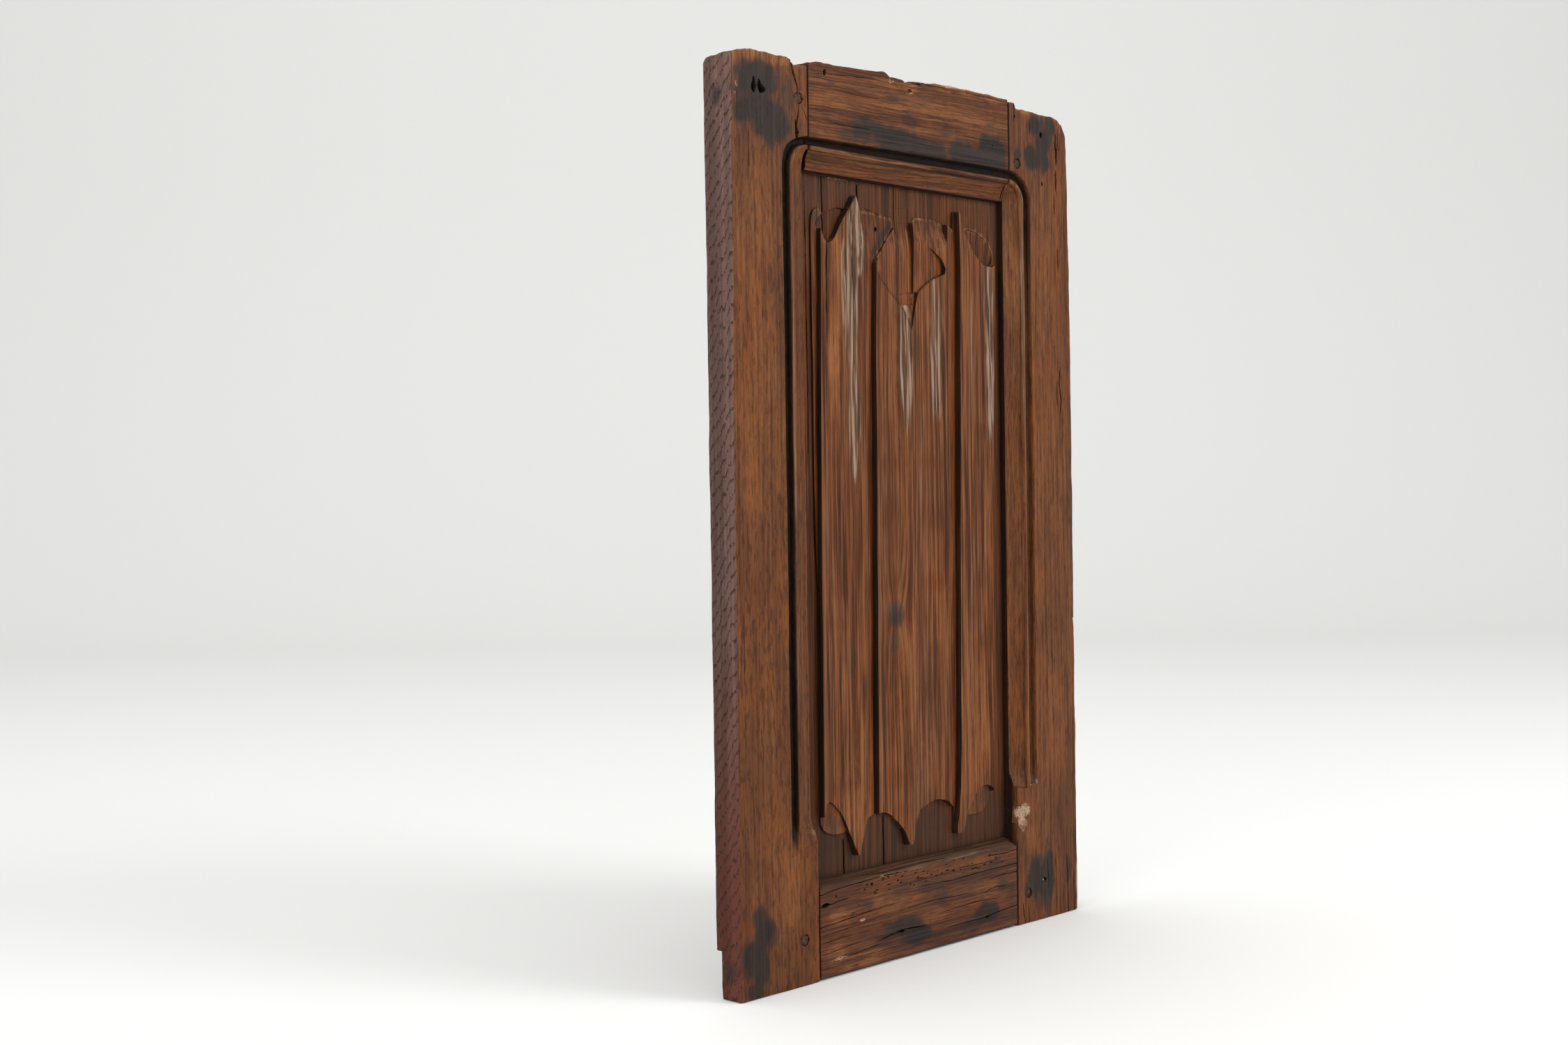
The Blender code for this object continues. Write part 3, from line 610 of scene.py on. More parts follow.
topRail = {
    "topLine": [(97, 801.3), (104, 802.2), (112, 804.2), (133, 803.8), (160, 805.2), (199.6, 806.7),
                (201.5, 805), (203, 802.6), (208, 803.6), (222, 803.2), (225, 801.2), (229, 801.0),
                (232, 803.4), (245, 804.5), (262, 804.9), (266, 806), (287, 806.6), (325.6, 806.2), (350, 806),
                (372, 804.9), (376, 804.2)],
    "arris": 1.6, "crackWidth": 0.8,
    "mitres": [([(96.8, 737), (97.6, 724), (98.8, 714), (100.2, 700)], 4.0, (0, 1)),
               ([(375.6, 732), (374.4, 722), (373.0, 712), (372.2, 701)], 0.9, (0.6, 0.6))],
    "cracks": [
        ([(104, 792), (150, 796), (190, 797.5)], 0.5, 4, (0, 0)),
        ([(214, 800), (250, 802.3), (283, 802.6)], 0.8, 5, (0, 0)),
        ([(300, 762), (335, 760.5), (360, 761)], 0.35, 3, (0, 0)),
        ([(130, 781), (165, 780), (190, 780.8)], 0.35, 3, (0, 0)),
        ([(120, 752), (150, 751.2), (178, 752)], 0.35, 3, (0, 0)),
    ],
    "holes": [(118, 794.5, 4.2, 6.2, 9), (231.0, 793.5, 8.5, 4.2, 3.5), (242, 801.5, 10, 3.0, 4),
              (350.5, 757, 1.6, 1.6, 3)],
    "stain": [(212, 745, 56, 12, 1.0), (186, 753, 30, 10, 0.9), (150, 745, 26, 9, 0.6),
              (262, 742, 30, 12, 0.9), (318, 743, 56, 14, 1.05), (352, 751, 28, 17, 1.05),
              (232, 766, 14, 9, 0.65), (282, 763, 14, 8, 0.6), (205, 784, 12, 5, 0.6),
              (345, 775, 10, 7, 0.5), (150, 762, 26, 8, 0.35)],
    "warm": [(240, 772, 60, 16, 0.45), (320, 778, 50, 14, 0.4), (140, 768, 36, 12, 0.4),
             (178, 778, 30, 10, 0.3), (300, 806, 60, 6, 1.0), (232, 797, 12, 6, 0.8),
             (200, 797, 30, 5, 0.6), (110, 750, 12, 10, 0.4),
             (340, 803, 30, 6, 0.9), (150, 727, 60, 4, 0.6)],
    "pale": [(290, 806, 26, 2.6, 1.0), (245, 803.5, 12, 2.4, 0.8), (232, 793, 8, 4, 0.6),
             (204, 799, 6, 2, 0.7), (330, 806, 14, 2, 0.6), (110, 803, 5, 2, 0.5), (350, 733, 5, 3, 0.5)],
}
bottomRail = {
    "arris": 1.2, "shelfArris": 3.2, "crackWidth": 1.0,
    "cracks": [
        ([(96, 75.5), (126, 78.3), (180, 80.0), (206, 79.4)], 0.75, 7, (1, 0)),
        ([(96, 64.4), (124, 66.8), (133, 67.6)], 0.8, 7, (1, 0)),
        ([(96, 46.5), (150, 50.5), (180, 52.0), (196, 52.2)], 0.75, 7, (1, 0)),
        ([(102, 39.5), (140, 41.2), (170, 42.6)], 0.45, 5, (0, 0)),
        ([(98, 32.4), (120, 33.6), (138, 34.4)], 0.45, 5, (0, 0)),
        ([(99, 22.5), (128, 24.5), (150, 26.4)], 0.6, 6, (0, 0)),
        ([(112, 13.5), (150, 17.5), (176, 19.5)], 0.5, 5, (0, 0)),
        ([(170, 22), (200, 26), (212, 26.6), (240, 25)], 1.1, 7, (0, 0)),
        ([(200, 45), (250, 46.5), (300, 44.5)], 0.5, 5, (0, 0)),
        ([(230, 62), (280, 61), (330, 62.4), (378, 62.0)], 0.6, 6, (0, 1)),
        ([(255, 33), (310, 34.8), (346, 33)], 0.55, 5, (0, 0)),
        ([(268, 18), (320, 17.5), (350, 20), (378, 21.5)], 0.8, 7, (0, 1)),
        ([(330, 76), (356, 74.5), (378, 76)], 0.6, 6, (0, 1)),
        ([(330, 53), (352, 54.5), (378, 54)], 0.7, 6, (0, 1)),
        ([(322, 41), (342, 44.6), (358, 42.4)], 0.55, 5, (0, 0)),
        ([(285, 71), (320, 70.2), (352, 71.2)], 0.45, 5, (0, 0)),
        ([(140, 84), (186, 82.6), (232, 83.4), (270, 82.6)], 0.7, 5, (0, 0)),
    ],
    "holes": [(104.5, 65.6, 10, 4.6, 10), (118, 71.8, 3.0, 2.4, 4), (164.5, 75.0, 4.0, 2.8, 6),
              (205, 25.6, 7, 3.2, 8), (328, 17.5, 6.5, 3.0, 6), (147, 59.5, 1.6, 1.4, 3),
              (152, 45.5, 1.6, 2.0, 3)],
    # worm pits and rot, in lanes along the grain
    "rot": {"count": 60, "across": (152, 352), "lanes": [66.5, 69.5, 72.0, 75.5, 78.5], "stray": 0.8,
            "wide": (1.4, 5.5), "tall": (0.8, 1.6), "deep": (1.5, 4)},
    "stain": [(205, 30, 26, 10, 0.9), (226, 18, 24, 9, 0.9), (180, 22, 16, 8, 0.6), (330, 22, 22, 10, 0.85),
              (262, 50, 14, 10, 0.6), (160, 57, 9, 6, 0.6), (140, 52, 6, 4, 0.7), (246, 62, 20, 8, 0.5),
              (300, 14, 20, 8, 0.6), (340, 66, 10, 7, 0.5), (352, 46, 10, 8, 0.5), (365, 30, 10, 12, 0.45),
              (200, 66, 20, 7, 0.45), (290, 34, 14, 8, 0.35)],
    "warm": [(122, 54, 18, 8, 0.85), (150, 12, 40, 8, 0.7), (118, 20, 18, 9, 0.6), (170, 60, 20, 7, 0.5),
             (330, 44, 16, 8, 0.4), (196, 52, 30, 8, 0.4), (318, 74, 18, 6, 0.5), (250, 30, 20, 8, 0.35)],
    "pale": [(152, 45, 5, 1.6, 0.9), (176, 60, 4, 1.4, 0.6), (124, 16, 12, 2, 0.7), (178, 80, 5, 1.4, 0.7),
             (210, 79, 6, 1.2, 0.6)],
}


def railBody(name, look, span, up, cell):
    body = block(name, span, (0, thickness), up, cell, gather=0.3)
    points = getPoints(body)
    across, deep, height = points.T.copy()
    low, high = np.array([[span[0], 0, up[0]], [span[1], thickness, up[1]]])
    uneven = 0.5 * wander(across / 24, deep / 30, height / 30, 31)
    uneven = uneven + 0.3 * wander(across / 7, deep, height, 32)
    radius = look["arris"] * (1 + uneven)
    upper = ease(height, up[1] - 8, up[1] - 4) * (deep < thickness / 2)
    radius = radius + upper * (look.get("shelfArris", look["arris"]) - look["arris"])
    nearEnd = np.minimum(across - span[0], span[1] - across) < 4  # the shoulders stay square
    points = roundArrises(points, low, high, np.where(nearEnd, 0.4, np.clip(radius, 0.4, 5)))
    dip = 0.4 * (0.5 + 0.5 * wander(across / 120, 0, height / 26, 33))
    dip = dip + 0.15 * (0.5 + 0.5 * wander(across / 30, 1, height / 4, 34))
    points[:, 1] += np.where(deep < 1, dip, 0) - np.where(deep > thickness - 1, dip, 0)
    return body, points, (across, deep, height)


topSpan = (leftSight + 0.55, rightSight - 0.6)
bottomSpan = (leftSight + 1.1, rightSight - 0.9)  # the lower shoulders have drawn out further
railTop = 805.0
topBody, points, (across, deep, up) = railBody("topRail", topRail, topSpan, (openingTop, railTop),
                                                (2.6, 4.5, 1.25))
line = np.interp(across, *np.array(topRail["topLine"]).T)
weight = ease(up, railTop - 45, railTop)
splinter = 0.7 * wander(across / 8, deep / 4, 0.5, 36) + 0.35 * wander(across / 2.6, deep / 2.5, 0.5, 37)
endWear = np.where(up > railTop - 2, splinter - 0.5 - 1.0 * ease(deep, 10, 28), 0)
points[:, 2] += weight * (line - railTop + endWear)
points[:, 2] += sightRise(across, up) * ease(-deep, -20, -14)
setPoints(topBody, points)


def tenon(level):
    return block("add tenon " + level, spans[level + "_rail"][0], tenons["deep"], tenons[level], (4, 4, 10))


def roundHole(level, side):
    across, up = middle("peg_%s_%s" % (level, side))
    outline = [(across + pegHoleRadius * math.cos(t), up + pegHoleRadius * math.sin(t))
               for t in np.linspace(0, 2 * math.pi, 24, endpoint=False)]
    return prism("cut round hole %s %s" % (level, side), outline, -3, thickness + 3)


def railCuts(level, look):
    holes = [roundHole(level, side) for side in ("left", "right")]
    return cuts(grooveShape, *holes) + openCuts(level, look, 50, 7)


mitreShapes = [crack("cut mitre %d" % number, path, width, 14, number + 5, openEnds=openEnds)
               for number, (path, width, openEnds) in enumerate(topRail["mitres"])]
steps = [("UNION", tenon("top"))] + cuts(mouldingShape) + railCuts("top", topRail) + cuts(*mitreShapes)
combine(topBody, steps)

bottomBody, points, (across, deep, up) = railBody("bottomRail", bottomRail, bottomSpan,
                                                   (spans["bottom_rail"][2][0], openingFoot), (2.6, 3.0, 1.2))
# the upper edge falls towards the front, is broken along its arris and worn down at its right end
fall = 2.5 * ease(-deep, -16, 0)
fall += 0.8 * (0.5 + 0.5 * wander(across / 14, deep / 7, 1, 38)) * ease(-deep, -12, 0)
fall += 5.0 * ease(across, 362, 378) * ease(-deep, -14, 2)
points[:, 2] -= ease(up, openingFoot - 14, openingFoot) * fall
setPoints(bottomBody, points)
steps = [("UNION", tenon("bottom"))] + railCuts("bottom", bottomRail)
draws = np.random.RandomState(12)
rot = bottomRail["rot"]
for number in range(rot["count"]):
    lane = draws.choice(rot["lanes"])
    across = draws.uniform(*rot["across"])
    up = lane + draws.normal(0, rot["stray"])
    size = [draws.uniform(*rot[side]) for side in ("wide", "tall", "deep")]
    steps += cuts(pit("cut rot %d" % number, across, up, *size, number))
combine(bottomBody, steps)
print("rails shaped", len(topBody.data.vertices), len(bottomBody.data.vertices))


# Carved board: four hollow folds of parchment with cut ends, on a plain ground

board = {
    "crest": 8.3, "rim": 8.9, "foot": 14.6, "ground": 16.2, "sag": 3.5,
    "width": 279.0, "height": 616.0,  # the carving's own layout, from the foot of the left sight edge
    "lines": {  # height and distance across of each line of the folds
        "outerLeft": [(0, 17.0), (300, 18.5), (616, 23.5)],
        "ridgeLeft": [(15.6, 61), (30, 66.5), (45, 69.5), (72, 72.4), (300, 75.4), (550, 77.4),
                      (575, 74.5), (590, 71.5), (604.5, 68.4)],
        "innerLeft": [(0, 88.5), (300, 91.5), (616, 96)],
        "centre": [(15.6, 131.4), (30, 133.4), (50, 134.4), (600, 142.4)],
        "innerRight": [(0, 187.5), (300, 190.5), (616, 195)],
        "ridgeRight": [(15.6, 198), (40, 202.5), (60, 204.5), (100, 206), (300, 208.6), (550, 213.4),
                       (585, 212.6), (602.5, 211.6)],
        "outerRight": [(0, 255), (300, 259), (616, 268)],
    },
    "ends": [(8, 574), (19, 574), (25.4, 570), (30.4, 562.5), (37.4, 561), (43, 564.5), (51.3, 578),
             (58.8, 589.5), (68.4, 604.5), (73, 597), (79.4, 591.5), (99.4, 592), (117.4, 589),
             (126, 585.5), (147, 586.5), (156, 592.5), (168, 593), (180, 592.5), (194, 589.5),
             (209.4, 585.5), (210.4, 602.5), (214, 602.5), (226, 587), (234, 573), (243, 563),
             (255, 556.5), (263, 554.5), (268, 558), (276, 562),
             (276, 300), (271, 49), (256, 49), (252.4, 54), (244.5, 55.8), (234.4, 52), (222.4, 41.5),
             (215, 32.5), (209, 15.6), (199.5, 15.6), (199.5, 41), (193.4, 44), (184.4, 49),
             (172, 51), (154, 47),
             (145.4, 45), (139.4, 31), (135.0, 14.6), (130.6, 14.6), (124.5, 29), (109.4, 44.5),
             (96.4, 49), (84, 48), (74.4, 45), (68, 32), (63, 15.2), (60.5, 15.2), (52.4, 34.6),
             (43.4, 53), (33.4, 64), (27.4, 67.5), (22.5, 66), (20, 60), (16.4, 54), (8, 54)],
    "ledges": [[(17.4, 53), (20, 44), (27.4, 39), (40, 36.5), (50, 38), (53, 44), (43, 70), (23, 70)],
               [(209, 29), (224, 29.5), (240.4, 30), (248.4, 36), (256, 46), (253, 60), (236, 58),
                (214, 36)]],
    "ledge": 14.0, "endSlope": 1.3,
    # where a fold dies into the ground: from which height, to which, and how far from its ridge
    "fades": {"ridgeLeft": (555, 590, 14), "centre": (562, 592, 14), "ridgeRight": (560, 600, 16)},
    "step": [(15.5, 545), (16, 580), (19, 588), (25, 591), (30, 586), (30, 572), (25, 560), (25, 240),
             (19, 240), (16, 320)],
    "stepDepth": 13.9,  # beside the first fold
    "cracks": [
        ([(128.4, 711), (128.2, 690), (128.6, 672), (131, 665), (130.2, 650), (129.2, 636),
          (128.8, 600), (129.4, 560)],
         0.85, 20.5, (1, 0)),
        ([(174.6, 711), (174.4, 698), (175, 688)], 0.9, 20.5, (1, 0)),
        ([(224, 711), (224.2, 688), (225.4, 664)], 0.55, 20, (1, 0)),
        ([(145.4, 84), (145, 98), (144.6, 118)], 1.0, 20.5, (1, 0)),
        ([(198.6, 84), (198.4, 108), (198.2, 134)], 0.9, 20.5, (1, 0)),
        ([(106.4, 708), (106.8, 660), (107.2, 560), (107.6, 460)], 0.55, 20, (0, 0)),
    ],
    "crackWidth": 1.6,
    "holes": [(198, 666, 4.4, 5.6, 24), (112, 108, 1.8, 1.8, 18)],
    "silver": [  # where the ridges are weathered bare, with a painted silvery sheen: across, up, half width, half height, strength
        (164, 655, 13, 42, 1.0), (158, 600, 11, 80, 1.0), (161, 515, 9, 90, 0.75), (231, 555, 9, 75, 0.8),
        (276, 570, 9, 80, 0.9), (355, 575, 7, 95, 0.85), (332, 560, 8, 90, 0.35), (206, 260, 14, 90, 0.25),
        (296, 205, 6, 80, 0.35), (158, 330, 10, 120, 0.3), (335, 330, 14, 140, 0.3), (134, 400, 6, 150, 0.3),
        (208, 480, 8, 120, 0.35), (230, 180, 8, 60, 0.3), (250, 420, 12, 120, 0.25), (185, 560, 8, 90, 0.35),
    ],
}


def layout(u, w):  # a place in the carving's layout as across and up
    return (leftSight + u * (rightSight - leftSight) / board["width"],
            openingFoot + w * (openingTop - openingFoot) / board["height"])


def fromLayout(across, up):  # the other way
    return ((across - leftSight) * board["width"] / (rightSight - leftSight),
            (up - openingFoot) * board["height"] / (openingTop - openingFoot))


def foldColumns():
    # columns across the folds: the line each lies beside, its share of the way to the next, its depth
    crest, rim, foot, sag = (board[key] for key in ("crest", "rim", "foot", "sag"))
    columns = []
    for start, stop, near, far, skew in (
            ("outerLeft", "ridgeLeft", rim, crest, 0.65), ("ridgeLeft", "innerLeft", crest, foot, 0),
            ("innerLeft", "centre", rim, crest, 0.8), ("centre", "innerRight", crest, rim, 1.35),
            ("innerRight", "ridgeRight", rim, foot, 0), ("ridgeRight", "outerRight", crest, rim, 1.55)):
        count = 14 if skew == 0 else 38
        for t in np.linspace(0, 1, count):
            if start == "centre" and t == 0:
                continue
            gap = -0.55 if skew == 0 and t == 1 else 0.0  # the next fold's wall stands just beyond
            if skew == 0 and t == 0:
                continue
            depth = near + (far - near) * t + (sag * math.sin(math.pi * t ** skew) if skew else
                                               0.7 * math.sin(math.pi * t))
            columns.append((start, stop, t, depth, gap))
    return columns


def foldBody():
    columns = foldColumns()
    ground = board["ground"]
    body = block("add folds", (0, len(columns) - 1), (0, 1), (4, 612), (1, 0.25, 2.4), gather=0.0)
    points = getPoints(body)
    column = np.rint(points[:, 0]).astype(int)
    share = points[:, 1].copy()
    w = points[:, 2]
    u = np.zeros(len(points))
    surface = np.zeros(len(points))
    fade = np.zeros(len(points))
    for number, (start, stop, t, depth, gap) in enumerate(columns):
        here = column == number
        first, last = [np.interp(w[here], *np.array(board["lines"][line]).T) for line in (start, stop)]
        u[here] = first + (last - first) * t + gap
        surface[here] = depth
        low, high, reach = board["fades"].get(start, (700, 701, 1))
        fade[here] = ease(w[here], low, high) * ease(u[here] - first, 0, reach)
    across, up = layout(u, w)
    # tool waves along the grain, and furrows where the weather has opened it
    surface = surface + 0.35 * wander(across / 14, 0, up / 90, 41) + 0.15 * wander(across / 4, 1, up / 40, 42)
    furrow = np.abs(wander(across / 3.4, 2, up / 150, 43))
    bare = bareAndSheenMask(across, up)
    surface = surface + bare * (0.9 * ease(-furrow, -0.35, 0.0) + 0.3 * wander(across / 1.6, 3, up / 60, 44))
    surface = np.maximum(surface, board["crest"])
    surface += fade * (ground - 0.8 - surface)
    points[:, 0] = across
    points[:, 1] = surface + share * (ground + 1.0 - surface)
    points[:, 2] = up
    setPoints(body, points)
    return body


# where the ridges are weathered bare, which is also where their painted silvery sheen lies
def bareAndSheenMask(across, up):
    total = np.zeros(len(across))
    rough = 0.25 * wander(across / 5, 4, up / 45, 45)
    for left, rise, wide, tall, strength in board["silver"]:
        reach = np.hypot((across - left) / wide, (up - rise) / tall) + rough
        total = np.maximum(total, strength * ease(-reach, -1.15, -0.55))
    return total


def slope(start, stop, near, far, cup=0.0):
    # a floor that goes from near at start to far at stop, hollow by cup between
    ax, az = layout(*start)
    bx, bz = layout(*stop)
    length = (bx - ax) ** 2 + (bz - az) ** 2

    def depth(across, up):
        t = ((across - ax) * (bx - ax) + (up - az) * (bz - az)) / length
        inside = np.clip(t, 0, 1)
        rough = 0.15 * wander(across / 5, 6, up / 5, 46)
        return near + (far - near) * t + cup * np.sin(np.pi * inside) + rough
    return depth


def leafFloor(across, up):  # runs on from the ground above, and rises towards the fold below
    u, w = fromLayout(across, up)
    base = 12.0 + 1.2 * ease(u, 98, 140)
    fall = (board["ground"] + 0.05 - base) * ease(w, 558, 592)
    return base + fall + 0.12 * wander(across / 5, 7, up / 9, 47)


def shoulderFloor(across, up):  # the first fold's right shoulder, dying into the ground
    shoulder = 14.5
    low, high, _ = board["fades"]["ridgeLeft"]
    fall = (board["ground"] - 0.8 - shoulder) * ease(fromLayout(across, up)[1], low, high)
    return shoulder + fall + 0.12 * wander(across / 5, 7, up / 9, 48)


def stepFloor(across, up):
    return board["stepDepth"] + 0.3 * wander(across / 4, 8, up / 60, 51)


def ledgeFloor(across, up):
    return board["ledge"] + 0.25 * wander(across / 6, 5, up / 6, 50)


ground = board["ground"]
boardHollows = [  # name, outline in the layout, floor
    ("bevel", [(88.5, 549.5), (94, 551), (122, 580), (125.5, 587), (88.5, 596)],
     slope((108, 566), (98, 580), 13.6, 15.4)),
    ("shoulder", [(94.5, 547), (121.5, 578.5), (127, 584), (126, 600), (90, 600), (93, 570)], shoulderFloor),
    ("leaf left", [(123, 577.5), (99, 552.5), (98, 543), (99.5, 537), (104, 532), (112.5, 526),
                   (122.5, 518.5), (131, 512), (147.5, 512), (147.5, 600), (123, 600)], leafFloor),
    ("leaf right", [(147, 518), (156.5, 526), (173.9, 536), (191.6, 543), (192.4, 548.5),
                    (186, 559), (168, 569.5), (157, 575), (147, 589)],
     slope((147, 560), (192, 550), 9.6, 14.2, 1.0)),
    ("stem", [(142.4, 489), (146.5, 505), (153, 524), (124, 520), (132.5, 508.7), (139.5, 498)],
     slope((142.4, 489), (142.4, 519), 9.4, 13.2, 0.0)),
    ("scoop left", [(19, 575), (25.7, 570.6), (30.9, 563.2), (37.2, 561.8), (42.6, 565.1), (50.8, 578.4),
                    (60.3, 593), (50, 593), (34, 588), (24, 582)],
     slope((30, 592), (48, 572), ground - 0.1, ground + 2.0, 0.6)),
    ("scoop right", [(225.5, 586.4), (233, 573.4), (242, 563), (254, 556), (263, 554.5),
                     (268, 558.5), (269.5, 567), (264, 576), (253, 584), (237, 588.5)],
     slope((262, 582), (240, 564), ground - 0.1, ground + 2.2, 0.6)),
]

panelSpan = spans["carved_panel"]
boardBody = block("carvedBoard", panelSpan[0], (ground, panelSpan[1][1]), panelSpan[2], (2.4, 4.0, 3.6))
points = getPoints(boardBody)
across, deep, up = points.T.copy()
points[:, 1] += np.where(deep < ground + 0.5, 0.3 * wander(across / 30, 0, up / 60, 48) - 0.1, 0)
planed = 0.5 * (0.5 + 0.5 * wander(across / 40, 3, up / 50, 49))
points[:, 1] -= np.where(deep > panelSpan[1][1] - 0.5, planed, 0)
setPoints(boardBody, points)



def carvedOutline(outline):  # smooth, and out of the layout
    return [layout(*point) for point in curved(outline)]


foldShape = foldBody()
endShape = prism("cut ends", carvedOutline(board["ends"]), board["crest"] - 3, ground + 3,
                 flare=board["endSlope"])
combine(foldShape, [("INTERSECT", endShape)])
steps = [("UNION", hollow("add step", carvedOutline(board["step"]), stepFloor, ground + 1, flare=0.3)),
         ("UNION", foldShape)]
for outline in board["ledges"]:
    steps.append(("UNION", hollow("add ledge", carvedOutline(outline), ledgeFloor, ground + 1, flare=0.5)))
for name, outline, floor in boardHollows:
    steps += cuts(hollow("cut " + name, carvedOutline(outline), 2.0, floor))
combine(boardBody, steps + openCuts("board", board, 80, 0, 0.0, 2.0))
print("board carved", len(boardBody.data.vertices))


# Pegs and nail

pegLook = {
    "peg_top_left": {"name": "pegTopLeft", "turn": 0.4, "dome": 0.5, "sunk": 0.5},
    "peg_top_right": {"name": "pegTopRight", "turn": 1.3, "dome": 0.4, "sunk": 0.9},
    "peg_bottom_left": {"name": "pegBottomLeft", "turn": 2.2, "dome": 0.5, "sunk": 0.4},
    "peg_bottom_right": {"name": "pegBottomRight", "turn": 0.9, "dome": 0.6, "sunk": 0.9},
}
pegFit = 0.955  # a peg's share of its solid's radius
pegBodies = {}
for number, (node, look) in enumerate(pegLook.items()):
    (left, right), (front, back), _ = spans[node]
    middleAcross, middleUp = middle(node)
    peg = rod(look["name"], 1, 36, 4, 0.19, 5)
    points = getPoints(peg)
    radius = np.hypot(points[:, 0], points[:, 2])
    angle = np.arctan2(points[:, 2], points[:, 0])
    # cleft to seven uneven sides, a little smaller at its ends
    facets = 1 + 0.035 * np.cos(7 * (angle + look["turn"]))
    facets = facets + 0.03 * wander(2 * np.cos(angle), 0, 2 * np.sin(angle), number)
    face = np.abs(points[:, 1]) > 0.49
    size = (right - left) / 2 * pegFit * facets * (1 - 0.05 * face * (radius > 0.9))
    inner = np.where(face, 1 - np.clip(radius, 0, 1) ** 2, 0)
    rough = 0.25 * wander(3 * points[:, 0], 1, 3 * points[:, 2], number + 4)
    share = points[:, 1] + 0.5
    depth = front + look["sunk"] + (back - front - 2 * look["sunk"]) * share
    depth += np.where(share < 0.01, -look["dome"] * inner + rough, 0)
    depth += np.where(share > 0.99, look["dome"] * inner - rough, 0)
    setPoints(peg, np.stack([middleAcross + points[:, 0] * size, np.clip(depth, front - 0.2, back + 0.2),
                             middleUp + points[:, 2] * size], axis=1))
    pegBodies[node] = peg

nailLook = {"radius": 1.71, "front": 1.2}
front, back = spans["nail_stub"][1]
middleAcross, middleUp = middle("nail_stub")
nail = rod("nailStub", 0.8, 24, 3, 0.22, 6)
points = getPoints(nail)
share = points[:, 1] + 0.5
lump = 1 + 0.12 * wander(points[:, 0] * 2, share * 3, points[:, 2] * 2, 60)
across = middleAcross + points[:, 0] * nailLook["radius"] * lump
up = middleUp + points[:, 2] * nailLook["radius"] * lump
deep = front + nailLook["front"] + (back - front - nailLook["front"]) * share
broken = 0.5 * wander(points[:, 0] * 2, 5, points[:, 2] * 2, 61) + 0.5 * points[:, 2]
deep += np.where(share < 0.01, broken, 0)
setPoints(nail, np.stack([across, np.maximum(deep, front), up], axis=1))
print("pegs and nail made")


# Masks: what the finish needs to know of each place

bodies = {
    "left_stile": (leftBody, leftStile), "right_stile": (rightBody, rightStile),
    "top_rail": (topBody, topRail), "bottom_rail": (bottomBody, bottomRail),
    "carved_panel": (boardBody, None),
}
for node, (body, look) in bodies.items():
    wearArrises(body)


def recessMap():
    # depth of the front from one millimetre to the next, less its average round about
    wide, tall = int(spans["right_stile"][0][1]) + 2, int(cadBox[1].z / metre) + 3
    depth = np.full((tall, wide), np.inf)
    for body, look in bodies.values():
        points = getPoints(body)
        column = np.clip(np.rint(points[:, 0]).astype(int), 0, wide - 1)
        row = np.clip(np.rint(points[:, 2]).astype(int), 0, tall - 1)
        np.minimum.at(depth, (row, column), points[:, 1])
    for _ in range(9):  # empty places take their nearest neighbour's depth
        for axis in (0, 1):
            for step in (1, -1):
                depth = np.where(np.isinf(depth), np.roll(depth, step, axis), depth)
    depth = np.where(np.isinf(depth), thickness, depth)
    average = depth.copy()
    reach = 7
    for _ in range(2):
        for axis in (0, 1):
            padded = np.concatenate([np.repeat(np.take(average, [0], axis), reach, axis), average,
                                     np.repeat(np.take(average, [-1], axis), reach, axis)], axis)
            total = np.cumsum(padded, axis)
            total = np.concatenate([np.zeros_like(np.take(total, [0], axis)), total], axis)
            count = 2 * reach + 1
            average = (np.take(total, range(count, total.shape[axis]), axis)
                       - np.take(total, range(total.shape[axis] - count), axis)) / count
    return average


average = recessMap()


def recess(points):  # how far a point lies behind what is round it, in mm
    column = np.clip(np.rint(points[:, 0]).astype(int), 0, average.shape[1] - 1)
    row = np.clip(np.rint(points[:, 2]).astype(int), 0, average.shape[0] - 1)
    return points[:, 1] - average[row, column]


def nearPath(points, path, reach):  # 1 along a line of places in the carving's layout, 0 at its reach
    across, _, up = points.T
    nearest = np.full(len(points), np.inf)
    for (a0, u0), (a1, u1) in zip(path, path[1:]):
        length = (a1 - a0) ** 2 + (u1 - u0) ** 2
        t = np.clip(((across - a0) * (a1 - a0) + (up - u0) * (u1 - u0)) / length, 0, 1)
        nearest = np.minimum(nearest, np.hypot(across - a0 - t * (a1 - a0), up - u0 - t * (u1 - u0)))
    return ease(-nearest, -reach, -0.4 * reach)


def sightDistance(points, node):  # how far a point of the moulding lies from the sight edge
    across, deep, up = points.T
    left, right, over = leftSight - across, across - rightSight, up - openingTop
    if node == "top_rail":
        return over
    side = left if node == "left_stile" else right
    return np.where(over > 0, np.hypot(np.clip(side, 0, None), over), side)


# the quirk darkened: dirt and painted shade in the groove
def quirkShadeAndGrime(points, node):
    if node == "bottom_rail":
        return np.zeros(len(points))
    distance = sightDistance(points, node)
    inside = ease(distance, 22.0, 22.8) * ease(-distance, -33.6, -32.6)
    if node == "right_stile":  # less dirt and painted shade below its corner
        inside = inside * (0.35 + 0.65 * ease(points[:, 2], 600, 690))
    return inside * ease(points[:, 1], 0.9, 1.6) * ease(-points[:, 1], -12, -9)


def beadHighlightAndWear(points, node):  # the bead's crown, and a rubbed line along each of its edges: wear with a painted highlight
    if node == "bottom_rail":
        return np.zeros(len(points))
    distance = sightDistance(points, node)
    crown = 0.4 * ease(distance, 16.5, 18) * ease(-distance, -23, -22) * ease(-points[:, 1], -2.2, -1.0)
    rubbed = sum(strength * ease(distance, edge - 1.1, edge - 0.4) * ease(-distance, -edge - 1.1, -edge - 0.4)
                 for edge, strength in ((17.6, 0.7), (21.6, 1.5)))
    lowest = moulding["leftStop" if node == "left_stile" else "rightStop"]
    return np.maximum(crown, rubbed) * ease(points[:, 2], lowest - 1, lowest + 3)


